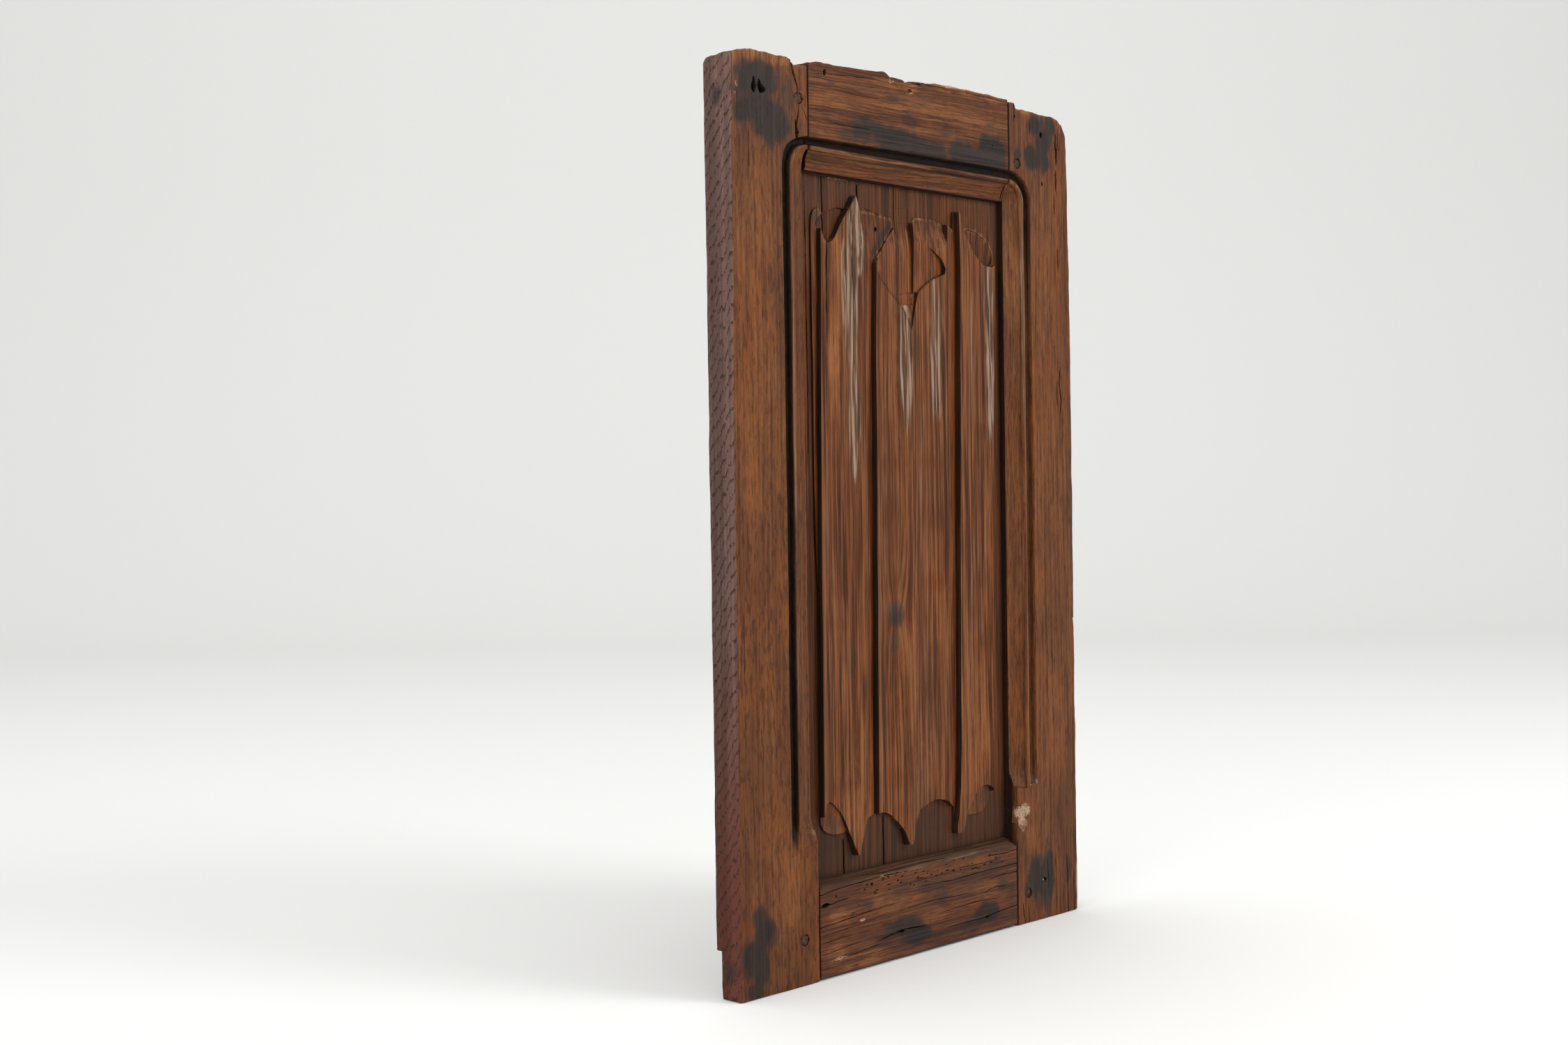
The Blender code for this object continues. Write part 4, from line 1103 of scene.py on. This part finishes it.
boardMasks = {
    "warm": [(140, 555, 7, 50, 0.9), (143, 640, 6, 26, 0.7), (110, 640, 6, 20, 0.5), (124, 655, 6, 8, 0.8),
             (225, 520, 12, 90, 0.35), (160, 160, 26, 60, 0.5), (250, 180, 20, 60, 0.45),
             (330, 200, 20, 70, 0.5), (300, 330, 16, 90, 0.35), (255, 600, 10, 40, 0.4),
             (197, 633, 4, 8, 0.9), (315, 200, 14, 110, 0.45), (230, 250, 24, 70, 0.35)],
    "stain": [(153, 278, 7, 22, 0.6), (214, 314, 11, 14, 0.85), (212, 290, 9, 12, 0.6), (119, 671, 8, 7, 0.7),
              (125, 120, 14, 20, 0.5), (171, 250, 6, 14, 0.45), (200, 630, 8, 12, 0.25)],
    "pale": [(178, 706, 12, 2.0, 0.5), (205, 705.5, 10, 2.0, 0.45)],
    "lines": [  # mask, strength, reach in mm, path in the layout
        ("stain", 0.8, 4.6, [(96.5, 557), (120.5, 584)]),
        ("pale", 0.9, 2.0, [(40, 618.4), (95, 618.0)]),
        ("pale", 0.85, 1.8, [(95, 618.0), (132, 617.4)]),
        ("pale", 0.7, 1.5, [(132, 617.4), (215, 616.8)]),
        # painted highlights along the upper edges of the fold ends and the stem
        ("raised", 2.4, 1.2, [(79, 592), (99, 592.5), (117, 589.5), (126, 586), (120, 578), (98, 551)]),
        ("raised", 2.4, 1.2, [(144, 578), (147, 587), (156, 592.5), (180, 592.5), (194, 589.5), (207, 586)]),
        ("raised", 2.4, 1.1, [(226, 587), (240, 588), (255, 584), (266, 575), (270, 566)]),
        ("raised", 2.4, 1.3, [(143, 590), (143.5, 560), (144, 524)]),
        # painted shade on the ledges below the fold ends
        ("dim", 0.8, 9.5, [(243, 42), (249, 47)]),
        ("dim", 0.5, 7, [(222, 34), (240, 35)]),
        ("dim", 0.55, 9, [(29, 48), (43, 47)]),
        ("grimeAndShade", 0.9, 1.6, [(48.8, 0), (48.4, 18), (48, 30)]),
        ("grimeAndShade", 0.9, 1.6, [(102, 0), (101.8, 22), (101.6, 44)]),
        ("grimeAndShade", 0.7, 1.5, [(31.8, 622), (32.2, 586), (34.4, 578), (33.4, 564)]),
        ("grimeAndShade", 0.7, 1.5, [(78, 622), (78, 604)]),
        # painted shade lines along the leaf's edges
        ("grimeAndShade", 0.6, 1.3, [(98, 548), (99.5, 537), (112.5, 526), (131, 510), (142, 490)]),
        ("grimeAndShade", 0.5, 1.2, [(147, 517), (156.5, 526), (174, 536), (191, 543)]),
    ],
}
maskSeeds = {"left_stile": 100, "right_stile": 110, "top_rail": 120, "bottom_rail": 130, "carved_panel": 140}
for node, (body, look) in bodies.items():
    points = getPoints(body)
    across, deep, up = points.T
    behind = recess(points)
    front = ease(-deep, -20, -12)
    masks = look or boardMasks
    seed = maskSeeds[node]
    hidden = ease(deep, 20, 25)  # the back is plainer
    stain = patches(points, masks["stain"], seed) * (1 - 0.5 * hidden)
    # darker in recesses: dirt and painted shade
    grimeAndShade = (0.5 if node == "carved_panel" else 0.35) * ease(behind, 1.0, 6.0)
    if node == "carved_panel":  # the upper left margin is as light as the moulding beside it
        grimeAndShade *= 1 - 0.8 * ease(-across, -116, -110) * ease(up, 380, 520)
    # what stands proud of its surroundings gets a painted highlight
    raised = (0.6 if node == "carved_panel" else 0.0) * ease(-behind, 0.8, 2.6) * front
    flow = np.zeros(len(points))
    dim = np.zeros(len(points))
    if node == "carved_panel":
        bare = bareAndSheenMask(across, up) * ease(-deep, -13.5, -11.5)
        # the sunk ground darker: dirt and painted shade
        grimeAndShade = np.maximum(grimeAndShade, 0.3 * ease(deep, 13.5, 16.0))
        swirl = np.hypot((across - 214) / 12, (up - 314) / 26)
        flow = 11.0 * np.sign(across - 214) * np.exp(-swirl ** 1.2) * ease(np.abs(across - 214), 0, 4)
        # painted shade on the ground beside the stiles, under the top rail and above the bottom rail
        margin = ease(np.abs(across - (leftSight + rightSight) / 2), 118, 139)
        besideRail = 0.25 + 0.4 * ease(-across, -205, -165) + 0.15 * ease(across, 290, 340)
        nearRail = ease(up, 640, 700) * besideRail
        margin *= 1 - 0.7 * ease(-across, -116, -110) * ease(up, 380, 520)
        dim = 0.5 * margin + nearRail + 0.75 * ease(-up, -145, -115) * ease(deep, 14.8, 15.8)
    else:
        bare = patches(points, masks.get("silver", []), seed + 3)
        grimeAndShade = np.maximum(grimeAndShade, quirkShadeAndGrime(points, node))
        raised = np.maximum(raised, beadHighlightAndWear(points, node))
        if node != "bottom_rail":
            # the bead's painted highlight, in the silvery colour
            bare = np.maximum(bare, (0.42 if node == "left_stile" else 0.3) * ease(raised, 0.8, 1.4))
        joint = np.minimum(np.abs(across - leftSight), np.abs(across - rightSight))
        atRail = (up < openingFoot - 2) | (up > openingTop + 2)
        grimeAndShade = np.maximum(grimeAndShade, 0.9 * ease(-joint, -1.5, -0.5) * atRail * ease(-deep, -3, 0))
        if node == "bottom_rail":
            # the top edge greyer; the whole rail darker, more so along its top edge; its cracks and pits
            # darkened with dirt and painted shade
            bare = np.maximum(bare, 0.3 * ease(up, 77.5, 81) * ease(-deep, -18, -14))
            dim = 0.10 + 0.5 * ease(up, 77.5, 81)
            grimeAndShade = np.maximum(grimeAndShade, 0.9 * ease(behind, 0.5, 1.6) * ease(-up, -82, -79))
    warm = patches(points, masks["warm"], seed + 5)
    pale = patches(points, masks.get("pale", []), seed + 7) * (1 - hidden)
    painted = {"stain": stain, "warm": warm, "silver": bare, "pale": pale, "grimeAndShade": np.clip(grimeAndShade, 0, 1),
               "flow": flow, "dim": np.clip(dim, 0, 1), "raised": np.clip(raised, 0, 1.5)}
    for mask, strength, reach, line in masks.get("lines", []):
        path = [layout(*place) for place in line]
        drawn = strength * nearPath(points, path, reach) * ease(-deep, -22, -18)
        painted[mask] = np.maximum(painted[mask], drawn)
    for mask, values in painted.items():
        paint(body, mask, values)
print("masks painted")


# Finishes

def linear(code):  # a colour socket's value from an sRGB hex value
    parts = [int(code[place:place + 2], 16) / 255 for place in (1, 3, 5)]
    return (*[part / 12.92 if part <= 0.04045 else ((part + 0.055) / 1.055) ** 2.4 for part in parts], 1.0)


# what a step of a finish adds: the node, the sockets its values go to, its settings, the output kept;
# any other step is a Math node's operation
stepKinds = {
    "place": ("TexCoord", (), {}, "Object"),
    "mask": ("Attribute", (), {"attribute_type": "GEOMETRY"}, "Fac"),
    "turn": ("Mapping", ("Vector", "Rotation", "Location"), {"vector_type": "POINT"}, 0),
    "stretch": ("VectorMath", (0, 1), {"operation": "MULTIPLY"}, 0),
    "shift": ("VectorMath", (0, 1), {"operation": "ADD"}, 0),
    "along": ("VectorMath", (0, 1), {"operation": "DOT_PRODUCT"}, "Value"),
    "sideways": ("CombineXYZ", (0,), {}, 0),
    "normal": ("NewGeometry", (), {}, "True Normal"),
    "partX": ("SeparateXYZ", (0,), {}, 0),
    "partY": ("SeparateXYZ", (0,), {}, 1),
    "partZ": ("SeparateXYZ", (0,), {}, 2),
    "noise": ("TexNoise", ("Vector", "W", "Scale", "Detail", "Roughness"), {"noise_dimensions": "4D"}, "Fac"),
    "range": ("MapRange", ("Value", "From Min", "From Max"), {"interpolation_type": "SMOOTHSTEP"}, 0),
    "mix": ("Mix", (0, 6, 7), {"data_type": "RGBA"}, 2),
    "bump": ("Bump", ("Height", "Strength", "Distance"), {}, 0),
}


def addNode(made, name, step, *values, **settings):
    # adds a step's node; a value that is a name stands for what was made or mixed under it before
    kind, sockets, fixed, output = stepKinds.get(step, ("Math", (0, 1, 2), {"operation": step}, 0))
    node = made["tree"].nodes.new("ShaderNode" + kind)
    for setting, value in {**fixed, **settings}.items():
        setattr(node, setting, value)
    for socket, value in zip(sockets, values):
        value = made[value] if isinstance(value, str) else value
        if isinstance(value, bpy.types.NodeSocket):
            made["tree"].links.new(value, node.inputs[socket])
        else:
            node.inputs[socket].default_value = value
    made[name] = node.outputs[output]


def layFinish(name, colours, plain, masks, steps, sockets):
    # plain: the shader's values that are the same all over; sockets: what each step's result drives
    material = bpy.data.materials.new(name)
    material.use_nodes = True
    tree = material.node_tree
    shader = tree.nodes["Principled BSDF"]
    for socket, value in plain.items():
        shader.inputs[socket].default_value = value
    made = {"tree": tree, **{key: linear(code) for key, code in colours.items()}}
    addNode(made, "object", "place")
    addNode(made, "millimetres", "stretch", "object", (1 / metre,) * 3)
    for mask in masks:
        addNode(made, mask, "mask", attribute_name=mask)
    for seed, (result, step, *values) in enumerate(steps):
        if step == "noise":  # vector, cell across the grain, cell along it, detail, roughness
            vector, wide, long, detail, rough = values
            addNode(made, result + "Cells", "stretch", vector, (1 / wide, 1 / wide, 1 / long))
            values = (result + "Cells", float(seed), 1.0, detail, rough)
        if step == "coat":  # mask, strength, colour, laid over the body so far
            mask, strength, colour = values
            addNode(made, result + "Share", "MULTIPLY", mask, strength, use_clamp=True)
            result, step, values = "body", "mix", (result + "Share", "body", colour)
        addNode(made, result, step, *values)
    for socket, result in sockets.items():
        tree.links.new(made[result], shader.inputs[socket])
    return material


def oakSteps(look):
    dashWide, dashLong = look["dash"]  # open pores, coarser than real ones so that they show
    return [
        ("turned", "turn", "millimetres", look["turn"], look["shift"]),
        # the grain wanders: slow leans over a hand's breadth, small ones over a finger's
        ("leanCloud", "noise", "turned", 60, 240, 1.0, 0.5),
        ("lean", "MULTIPLY", "leanCloud", look["lean"]),
        ("waverCloud", "noise", "turned", 9, look["waverLength"], 2.0, 0.5),
        ("waver", "MULTIPLY_ADD", "waverCloud", look["waver"], "lean"),
        ("drift", "ADD", "waver", "flow"),
        ("driftAcross", "sideways", "drift"),
        ("grain", "shift", "turned", "driftAcross"),
        # rings, ringWidth mm apart across ringNormal, with a sharp dark start that fades
        ("ringCloud", "noise", "grain", 6, 150, 1.0, 0.5),
        ("ringPlace", "along", "grain", [part / look["ringWidth"] for part in look["ringNormal"]]),
        ("ringPhase", "MULTIPLY_ADD", "ringCloud", 2.0, "ringPlace"),
        ("ringShare", "FRACT", "ringPhase"),
        ("early", "range", "ringShare", 0.60, 0.0),
        ("streak", "noise", "grain", look["streakWidth"], 170, 3.0, 0.6),
        ("broad", "noise", "grain", *look["broad"], 2.0, 0.5),
        ("blotch", "noise", "turned", 50, 110, 2.0, 0.55),
        ("dashes", "noise", "grain", dashWide, dashLong, 2.0, 0.6),
        ("fibre", "noise", "grain", 0.9, 0.8 * dashLong, 2.0, 0.6),
        ("furrows", "noise", "grain", 2.6, 75, 2.0, 0.55),
        ("ragged", "noise", "turned", 5, 12, 3.0, 0.6),
        ("crumb", "noise", "turned", 0.9, 1.6, 2.0, 0.5),
        ("streaked", "range", "streak", 0.5 - look["streakSoft"], 0.5 + look["streakSoft"]),
        ("broader", "range", "broad", 0.42, 0.64),
        ("blotched", "range", "blotch", 0.46, 0.66),
        ("dash", "range", "dashes", 0.51, 0.61),
        ("fine", "range", "fibre", 0.50, 0.62),
        ("body", "mix", "streaked", "dark", "light"),
        ("orangeWood", "coat", "broader", 0.55, "orange"),
        ("brownWood", "coat", "blotched", 0.45, "brown"),
        ("pits", "noise", "grain", 1.8, 6.5, 2.0, 0.5),
        ("poreDash", "range", "pits", 0.46, 0.58),
        ("brokenRing", "MULTIPLY_ADD", "poreDash", look["ringBreak"], 1 - look["ringBreak"]),
        ("ring", "MULTIPLY", "early", "brokenRing"),
        ("rings", "coat", "ring", look["ringDepth"], "deep"),
        ("pores", "coat", "dash", look["dashDepth"], "deep"),
        ("fibres", "coat", "fine", look["fibreDepth"], "pore"),
        # worn orange or bright patches, in streaks
        ("warmSum", "MULTIPLY_ADD", "ragged", 0.5, "streak"),
        ("warmStreak", "range", "warmSum", 0.55, 0.90),
        ("warmShare", "MULTIPLY", "warm", "warmStreak"),
        ("warmWood", "mix", "fine", "bright", "light"),
        ("worn", "coat", "warmShare", 0.9, "warmWood"),
        # outer side faces: greyer and purplish with a painted sheen of the pale surroundings, redder low down,
        # with lines of open pores
        ("facing", "normal"),
        ("facingX", "partX", "facing"),
        ("facingZ", "partZ", "facing"),
        ("placeX", "partX", "millimetres"),
        ("placeY", "partY", "millimetres"),
        ("placeZ", "partZ", "millimetres"),
        ("steepness", "ABSOLUTE", "facingX"),
        ("fromMiddle", "ABSOLUTE", "placeX"),
        ("outer", "range", "fromMiddle", 222, 226),
        ("turnedAway", "range", "steepness", 0.55, 0.85),
        ("side", "MULTIPLY", "turnedAway", "outer"),
        ("lowDown", "range", "placeZ", 380, 60),
        ("sideSheenWood", "mix", "streaked", "sideSheenDark", "sideSheenLight"),
        ("sideLow", "mix", "lowDown", "sideSheenWood", "sideRed"),
        ("sidePlace", "along", "turned", (0, -0.108, -0.072)),
        ("sidePhase", "MULTIPLY_ADD", "ringCloud", 1.6, "sidePlace"),
        ("sideRing", "FRACT", "sidePhase"),
        ("sideEarly", "range", "sideRing", 0.42, 0.1),
        ("sideLate", "MULTIPLY_ADD", "sideEarly", 0.9, 0.1),
        ("sidePits", "noise", "turned", 1.8, 3.2, 2.0, 0.5),
        ("sideDash", "range", "sidePits", 0.42, 0.52),
        ("poreShare", "MULTIPLY", "sideLate", "sideDash"),
        ("poreLines", "MULTIPLY", "poreShare", 0.85),
        ("sideColour", "mix", "poreLines", "sideLow", "sideLine"),
        ("sides", "coat", "side", look["sideShare"], "sideColour"),
        # painted shade beside and under the frame's parts, and darker patches elsewhere
        ("dimmedAndShaded", "coat", "dim", 0.75, "dimShadeWood"),
        # bare grey wood with a painted silvery sheen, in pale slivers between dark furrows
        ("bareSum", "MULTIPLY_ADD", "streak", 0.9, "silver"),
        ("bare", "range", "bareSum", 0.70, 1.10),
        ("ridge", "range", "furrows", 0.50, 0.57),
        ("gully", "range", "furrows", 0.50, 0.45),
        ("ridges", "MULTIPLY", "bare", "ridge"),
        ("gullies", "MULTIPLY", "bare", "gully"),
        ("greyedWithSheen", "coat", "bare", 0.22, "silverSheenLight"),
        ("sheenSlivers", "coat", "ridges", 0.80, "silverSheenLight"),
        ("furrowed", "coat", "gullies", 0.85, "silverDark"),
        # blue-black iron stain
        ("soakStart", "MULTIPLY_ADD", "ragged", 0.30, "stain"),
        ("soak", "MULTIPLY_ADD", "streak", 0.25, "soakStart"),
        ("stained", "range", "soak", 0.40, 1.28),
        ("stainColour", "mix", "streaked", "stainDark", "stainLight"),
        ("ironStain", "coat", "stained", 0.93, "stainColour"),
        # handled edges a little lighter: wear and a painted highlight
        ("handledHighlightPart", "range", "streak", 0.42, 0.64),
        ("handledShare", "MULTIPLY", "raised", "handledHighlightPart"),
        ("handled", "coat", "handledShare", 0.60, "edge"),
        # dirt and painted shade in the recesses and on the walls inside the frame
        ("inner", "SUBTRACT", 1.0, "outer"),
        ("aboveFoot", "range", "placeZ", 12, 20),
        ("belowTop", "range", "placeZ", 790, 780),
        ("innerHigh", "MULTIPLY", "inner", "aboveFoot"),
        ("within", "MULTIPLY", "innerHigh", "belowTop"),
        ("upOrDown", "ABSOLUTE", "facingZ"),
        ("lessUp", "MULTIPLY", "upOrDown", 0.92),
        ("steeper", "MAXIMUM", "steepness", "lessUp"),
        ("wall", "range", "steeper", 0.58, 0.88),
        ("wallWithin", "MULTIPLY", "wall", "within"),
        ("farIn", "range", "placeY", -11.5, -8.0),
        ("wallDeep", "MULTIPLY", "wallWithin", "farIn"),
        ("wallShadeAndDirt", "MULTIPLY", "wallDeep", look["wallShadeAndDirt"]),
        ("dirtAndShadePatch", "MULTIPLY_ADD", "ragged", 0.5, 0.78),
        ("recessShadeAndDirt", "MULTIPLY", "grimeAndShade", "dirtAndShadePatch"),
        ("dirt", "MAXIMUM", "recessShadeAndDirt", "wallShadeAndDirt"),
        ("dirtyAndShaded", "coat", "dirt", look["grimeAndShadeDepth"], "sootAndShade"),
        # broken pale wood
        ("breakSum", "MULTIPLY_ADD", "crumb", 1.6, "pale"),
        ("broken", "range", "breakSum", 1.35, 1.65),
        ("brokenWood", "coat", "broken", 1.0, "paleWood"),
        ("poreRelief", "MULTIPLY", "dash", -0.22),
        ("ringRelief", "MULTIPLY_ADD", "early", -0.12, "poreRelief"),
        ("streakRelief", "MULTIPLY_ADD", "streak", 0.30, "ringRelief"),
        ("fibreRelief", "MULTIPLY_ADD", "fibre", 0.16, "streakRelief"),
        ("relief", "MULTIPLY_ADD", "ridges", 0.55, "fibreRelief"),
        ("bump", "bump", "relief", look["relief"], metre),
        ("dull", "MAXIMUM", "bare", "dirt"),
        ("dullness", "MULTIPLY_ADD", "dull", 0.22, look["roughness"] + 0.1),
        ("roughness", "MULTIPLY_ADD", "streak", -0.20, "dullness"),
    ]


def oakFinish(name, look):
    # riven oak, waxed and handled for centuries: dark open pores in thin rings, brown and orange between,
    # a low sheen where hands reached and dull dirt where they didn't, with painted shade in recesses and
    # painted highlights on edges
    plain = {"IOR": 1.45, "Specular IOR Level": look["sheen"]}
    masks = ("stain", "warm", "silver", "pale", "grimeAndShade", "flow", "dim", "raised")
    return layFinish(name, look["colours"], plain, masks, oakSteps(look),
                     {"Base Color": "body", "Roughness": "roughness", "Normal": "bump"})


# the near-black colour stands for dirt and painted shade, the pale edge and silvery colours for wear and
# painted highlights, the greyish side colours for a painted sheen of the pale surroundings
frameColours = {
    "light": "#714524", "dark": "#4a2715", "orange": "#7a431b", "brown": "#482715", "deep": "#33190c",
    "pore": "#1f1009", "bright": "#925b30", "sideSheenLight": "#785d56", "sideSheenDark": "#59423d",
    "sideLine": "#271813", "sideRed": "#5f3125", "dimShadeWood": "#422f23",
    "silverSheenLight": "#93826f", "silverDark": "#2e2019", "stainLight": "#2e2825",
    "stainDark": "#191615", "sootAndShade": "#100804", "edge": "#8a5f3d", "paleWood": "#a98c74",
}
boardColours = dict(frameColours, light="#7c4521", dark="#42210b", orange="#7f431a", silverSheenLight="#978675",
                    stainLight="#38312a", stainDark="#241d18")
upright = {
    "turn": (0, 0, 0), "shift": (0, 0, 0), "lean": 6.0, "waver": 1.2, "waverLength": 45, "streakWidth": 3.0,
    "ringWidth": 2.4, "ringNormal": (1.0, -0.1, 0.0), "ringDepth": 0.25, "ringBreak": 0.9,
    "dash": (2.8, 13), "dashDepth": 0.55, "fibreDepth": 0.2, "broad": (24, 90), "streakSoft": 0.24,
    "sideShare": 0.9, "grimeAndShadeDepth": 0.92, "wallShadeAndDirt": 0.92, "relief": 0.8, "roughness": 0.5, "sheen": 0.16,
    "colours": frameColours,
}
lying = dict(upright, turn=(0, math.pi / 2, 0), shift=(31, 7, 0), lean=8.0, waver=3.6, waverLength=26,
             ringWidth=2.8, ringNormal=(1.0, 0.15, 0.02), ringDepth=0.75, ringBreak=0.3, dash=(1.5, 20),
             dashDepth=0.5, broad=(11, 260), streakSoft=0.12, sideShare=0.2)
looks = {
    "left_stile": ("waxed oak stile left", upright),
    "right_stile": ("waxed oak stile right", dict(
        upright, shift=(411, 23, 90), waver=1.8, dash=(2.4, 20), ringDepth=0.4, sideShare=0.4)),
    "top_rail": ("waxed oak rail top", dict(lying, colours=dict(
        frameColours, light="#6a4024", orange="#723d19", dark="#432212"))),
    "bottom_rail": ("weathered oak rail", dict(
        lying, shift=(77, 19, 40), waver=2.6, waverLength=60, ringDepth=0.5, wallShadeAndDirt=0.2,
        colours=dict(frameColours, light="#633c25", orange="#743f1f", dark="#3d2115", brown="#3a2417"))),
    "carved_panel": ("carved oak board", dict(
        upright, shift=(204, 61, 30), streakWidth=3.4, ringWidth=3.6, ringNormal=(1.0, 0.12, 0.0),
        ringDepth=0.60, ringBreak=0.3, dash=(1.9, 60), dashDepth=0.6, fibreDepth=0.3, broad=(14, 260),
        streakSoft=0.11, sideShare=0.0, colours=boardColours)),
}


def pegFinish(name):
    # split oak seen on its end: dark and dry, flecked with dark pores
    steps = [
        ("fine", "noise", "millimetres", 1.1, 1.1, 3.0, 0.6),
        ("coarse", "noise", "millimetres", 3.8, 3.8, 2.0, 0.5),
        ("patch", "range", "coarse", 0.35, 0.65),
        ("body", "mix", "patch", "dark", "light"),
        ("speck", "range", "fine", 0.52, 0.64),
        ("pores", "coat", "speck", 0.9, "pore"),
        ("bump", "bump", "fine", 0.6, 0.4 * metre),
    ]
    colours = {"dark": "#2c1d14", "light": "#553724", "pore": "#170e08"}
    plain = {"Roughness": 0.72, "Specular IOR Level": 0.2}
    return layFinish(name, colours, plain, (), steps, {"Base Color": "body", "Normal": "bump"})


def ironFinish(name):
    # wrought iron, rusted dark brown, rubbed bright in patches
    steps = [
        ("rust", "noise", "millimetres", 0.7, 0.7, 4.0, 0.65),
        ("rusty", "range", "rust", 0.40, 0.60),
        ("body", "mix", "rusty", "bare", "brown"),
        ("metallic", "MULTIPLY_ADD", "rusty", -0.8, 0.9),
        ("roughness", "MULTIPLY_ADD", "rusty", 0.45, 0.35),
        ("bump", "bump", "rust", 0.7, 0.4 * metre),
    ]
    sockets = {"Base Color": "body", "Metallic": "metallic", "Roughness": "roughness", "Normal": "bump"}
    return layFinish(name, {"bare": "#8d8276", "brown": "#251a14"}, {}, (), steps, sockets)


for node, (body, look) in bodies.items():
    settle(body, node, oakFinish(*looks[node]))
splitOak = pegFinish("split oak peg")
for node, peg in pegBodies.items():
    settle(peg, node, splitOak)
settle(nail, "nail_stub", ironFinish("rusted wrought iron"))
for shape in shapes:
    bpy.data.objects.remove(shape)
print("pieces finished")


# Stage, light and camera

studio = {"floor": "#e8e8e6", "wall": 3.4, "reach": 9.0, "cove": 1.6, "high": 5.0}  # metres


def stagePiece():
    bm = bmesh.new()
    bmesh.ops.create_grid(bm, x_segments=1, y_segments=1, size=1)
    for vert in bm.verts:
        vert.co = (vert.co.x * studio["reach"], -studio["reach"] if vert.co.y < 0 else studio["wall"], 0)
    backEdge = [edge for edge in bm.edges if all(vert.co.y > 0 for vert in edge.verts)]
    grown = bmesh.ops.spin(bm, geom=backEdge, cent=(0, studio["wall"], studio["cove"]), axis=(1, 0, 0),
                           dvec=(0, 0, 0), angle=math.pi / 2, steps=24)
    last = [item for item in grown["geom_last"] if isinstance(item, bmesh.types.BMEdge)]
    raised = bmesh.ops.extrude_edge_only(bm, edges=last)
    top = [item for item in raised["geom"] if isinstance(item, bmesh.types.BMVert)]
    bmesh.ops.translate(bm, vec=(0, 0, studio["high"]), verts=top)
    bmesh.ops.rotate(bm, cent=(0, 0, 0), matrix=Matrix.Rotation(-math.pi / 4, 3, "Z"), verts=bm.verts)
    floor = meshObject("studioFloor", bm)
    floor.data.shade_smooth()
    plain = {"Base Color": linear(studio["floor"]), "Roughness": 0.85}
    floor.data.materials.append(layFinish("pale studio paper", {}, plain, (), [], {}))


stagePiece()


def softLight(name, place, aim, size, power, tint="#ffffff"):
    light = bpy.data.lights.new(name, "AREA")
    light.shape = "DISK"
    light.size = size
    light.energy = power
    light.color = linear(tint)[:3]
    lamp = bpy.data.objects.new(name, light)
    bpy.context.scene.collection.objects.link(lamp)
    turn = (Vector(aim) - Vector(place)).to_track_quat("-Z", "Y")
    lamp.matrix_world = Matrix.Translation(place) @ turn.to_matrix().to_4x4()


softLight("key", (1.2, -2.6, 2.2), (0, 0, 0.4), 1.6, 56)
softLight("left fill", (-3.0, -0.6, 1.6), (0, 0, 0.4), 2.4, 33)
softLight("backdrop", (-0.5, 0.6, 3.4), (1.5, 3.0, 0.2), 3.0, 32)

world = bpy.data.worlds.new("studio")
world.use_nodes = True
world.node_tree.nodes["Background"].inputs["Color"].default_value = linear("#ffffff")
world.node_tree.nodes["Background"].inputs["Strength"].default_value = 0.78
bpy.context.scene.world = world
bpy.context.scene.view_settings.view_transform = "Standard"

# the photo's own view: place in metres, angles in degrees, lens and sensor in millimetres
cameraLook = {"place": (-1.338, -1.173, 0.439), "yaw": 45.06, "pitch": -1.26, "roll": -0.85, "lens": 44.0,
              "sensor": 36.0}
yaw, pitch, roll = [math.radians(cameraLook[key]) for key in ("yaw", "pitch", "roll")]
ahead = Vector((math.sin(yaw) * math.cos(pitch), math.cos(yaw) * math.cos(pitch), math.sin(pitch)))
right = Vector((math.cos(yaw), -math.sin(yaw), 0))
above = right.cross(ahead)
axisX = right * math.cos(roll) + above * math.sin(roll)
axisY = above * math.cos(roll) - right * math.sin(roll)
cameraData = bpy.data.cameras.new("camera")
cameraData.lens = cameraLook["lens"]
cameraData.sensor_width = cameraLook["sensor"]
camera = bpy.data.objects.new("camera", cameraData)
bpy.context.scene.collection.objects.link(camera)
turn = Matrix((axisX, axisY, -ahead)).transposed()
camera.matrix_world = Matrix.Translation(cameraLook["place"]) @ turn.to_4x4()
bpy.context.scene.camera = camera
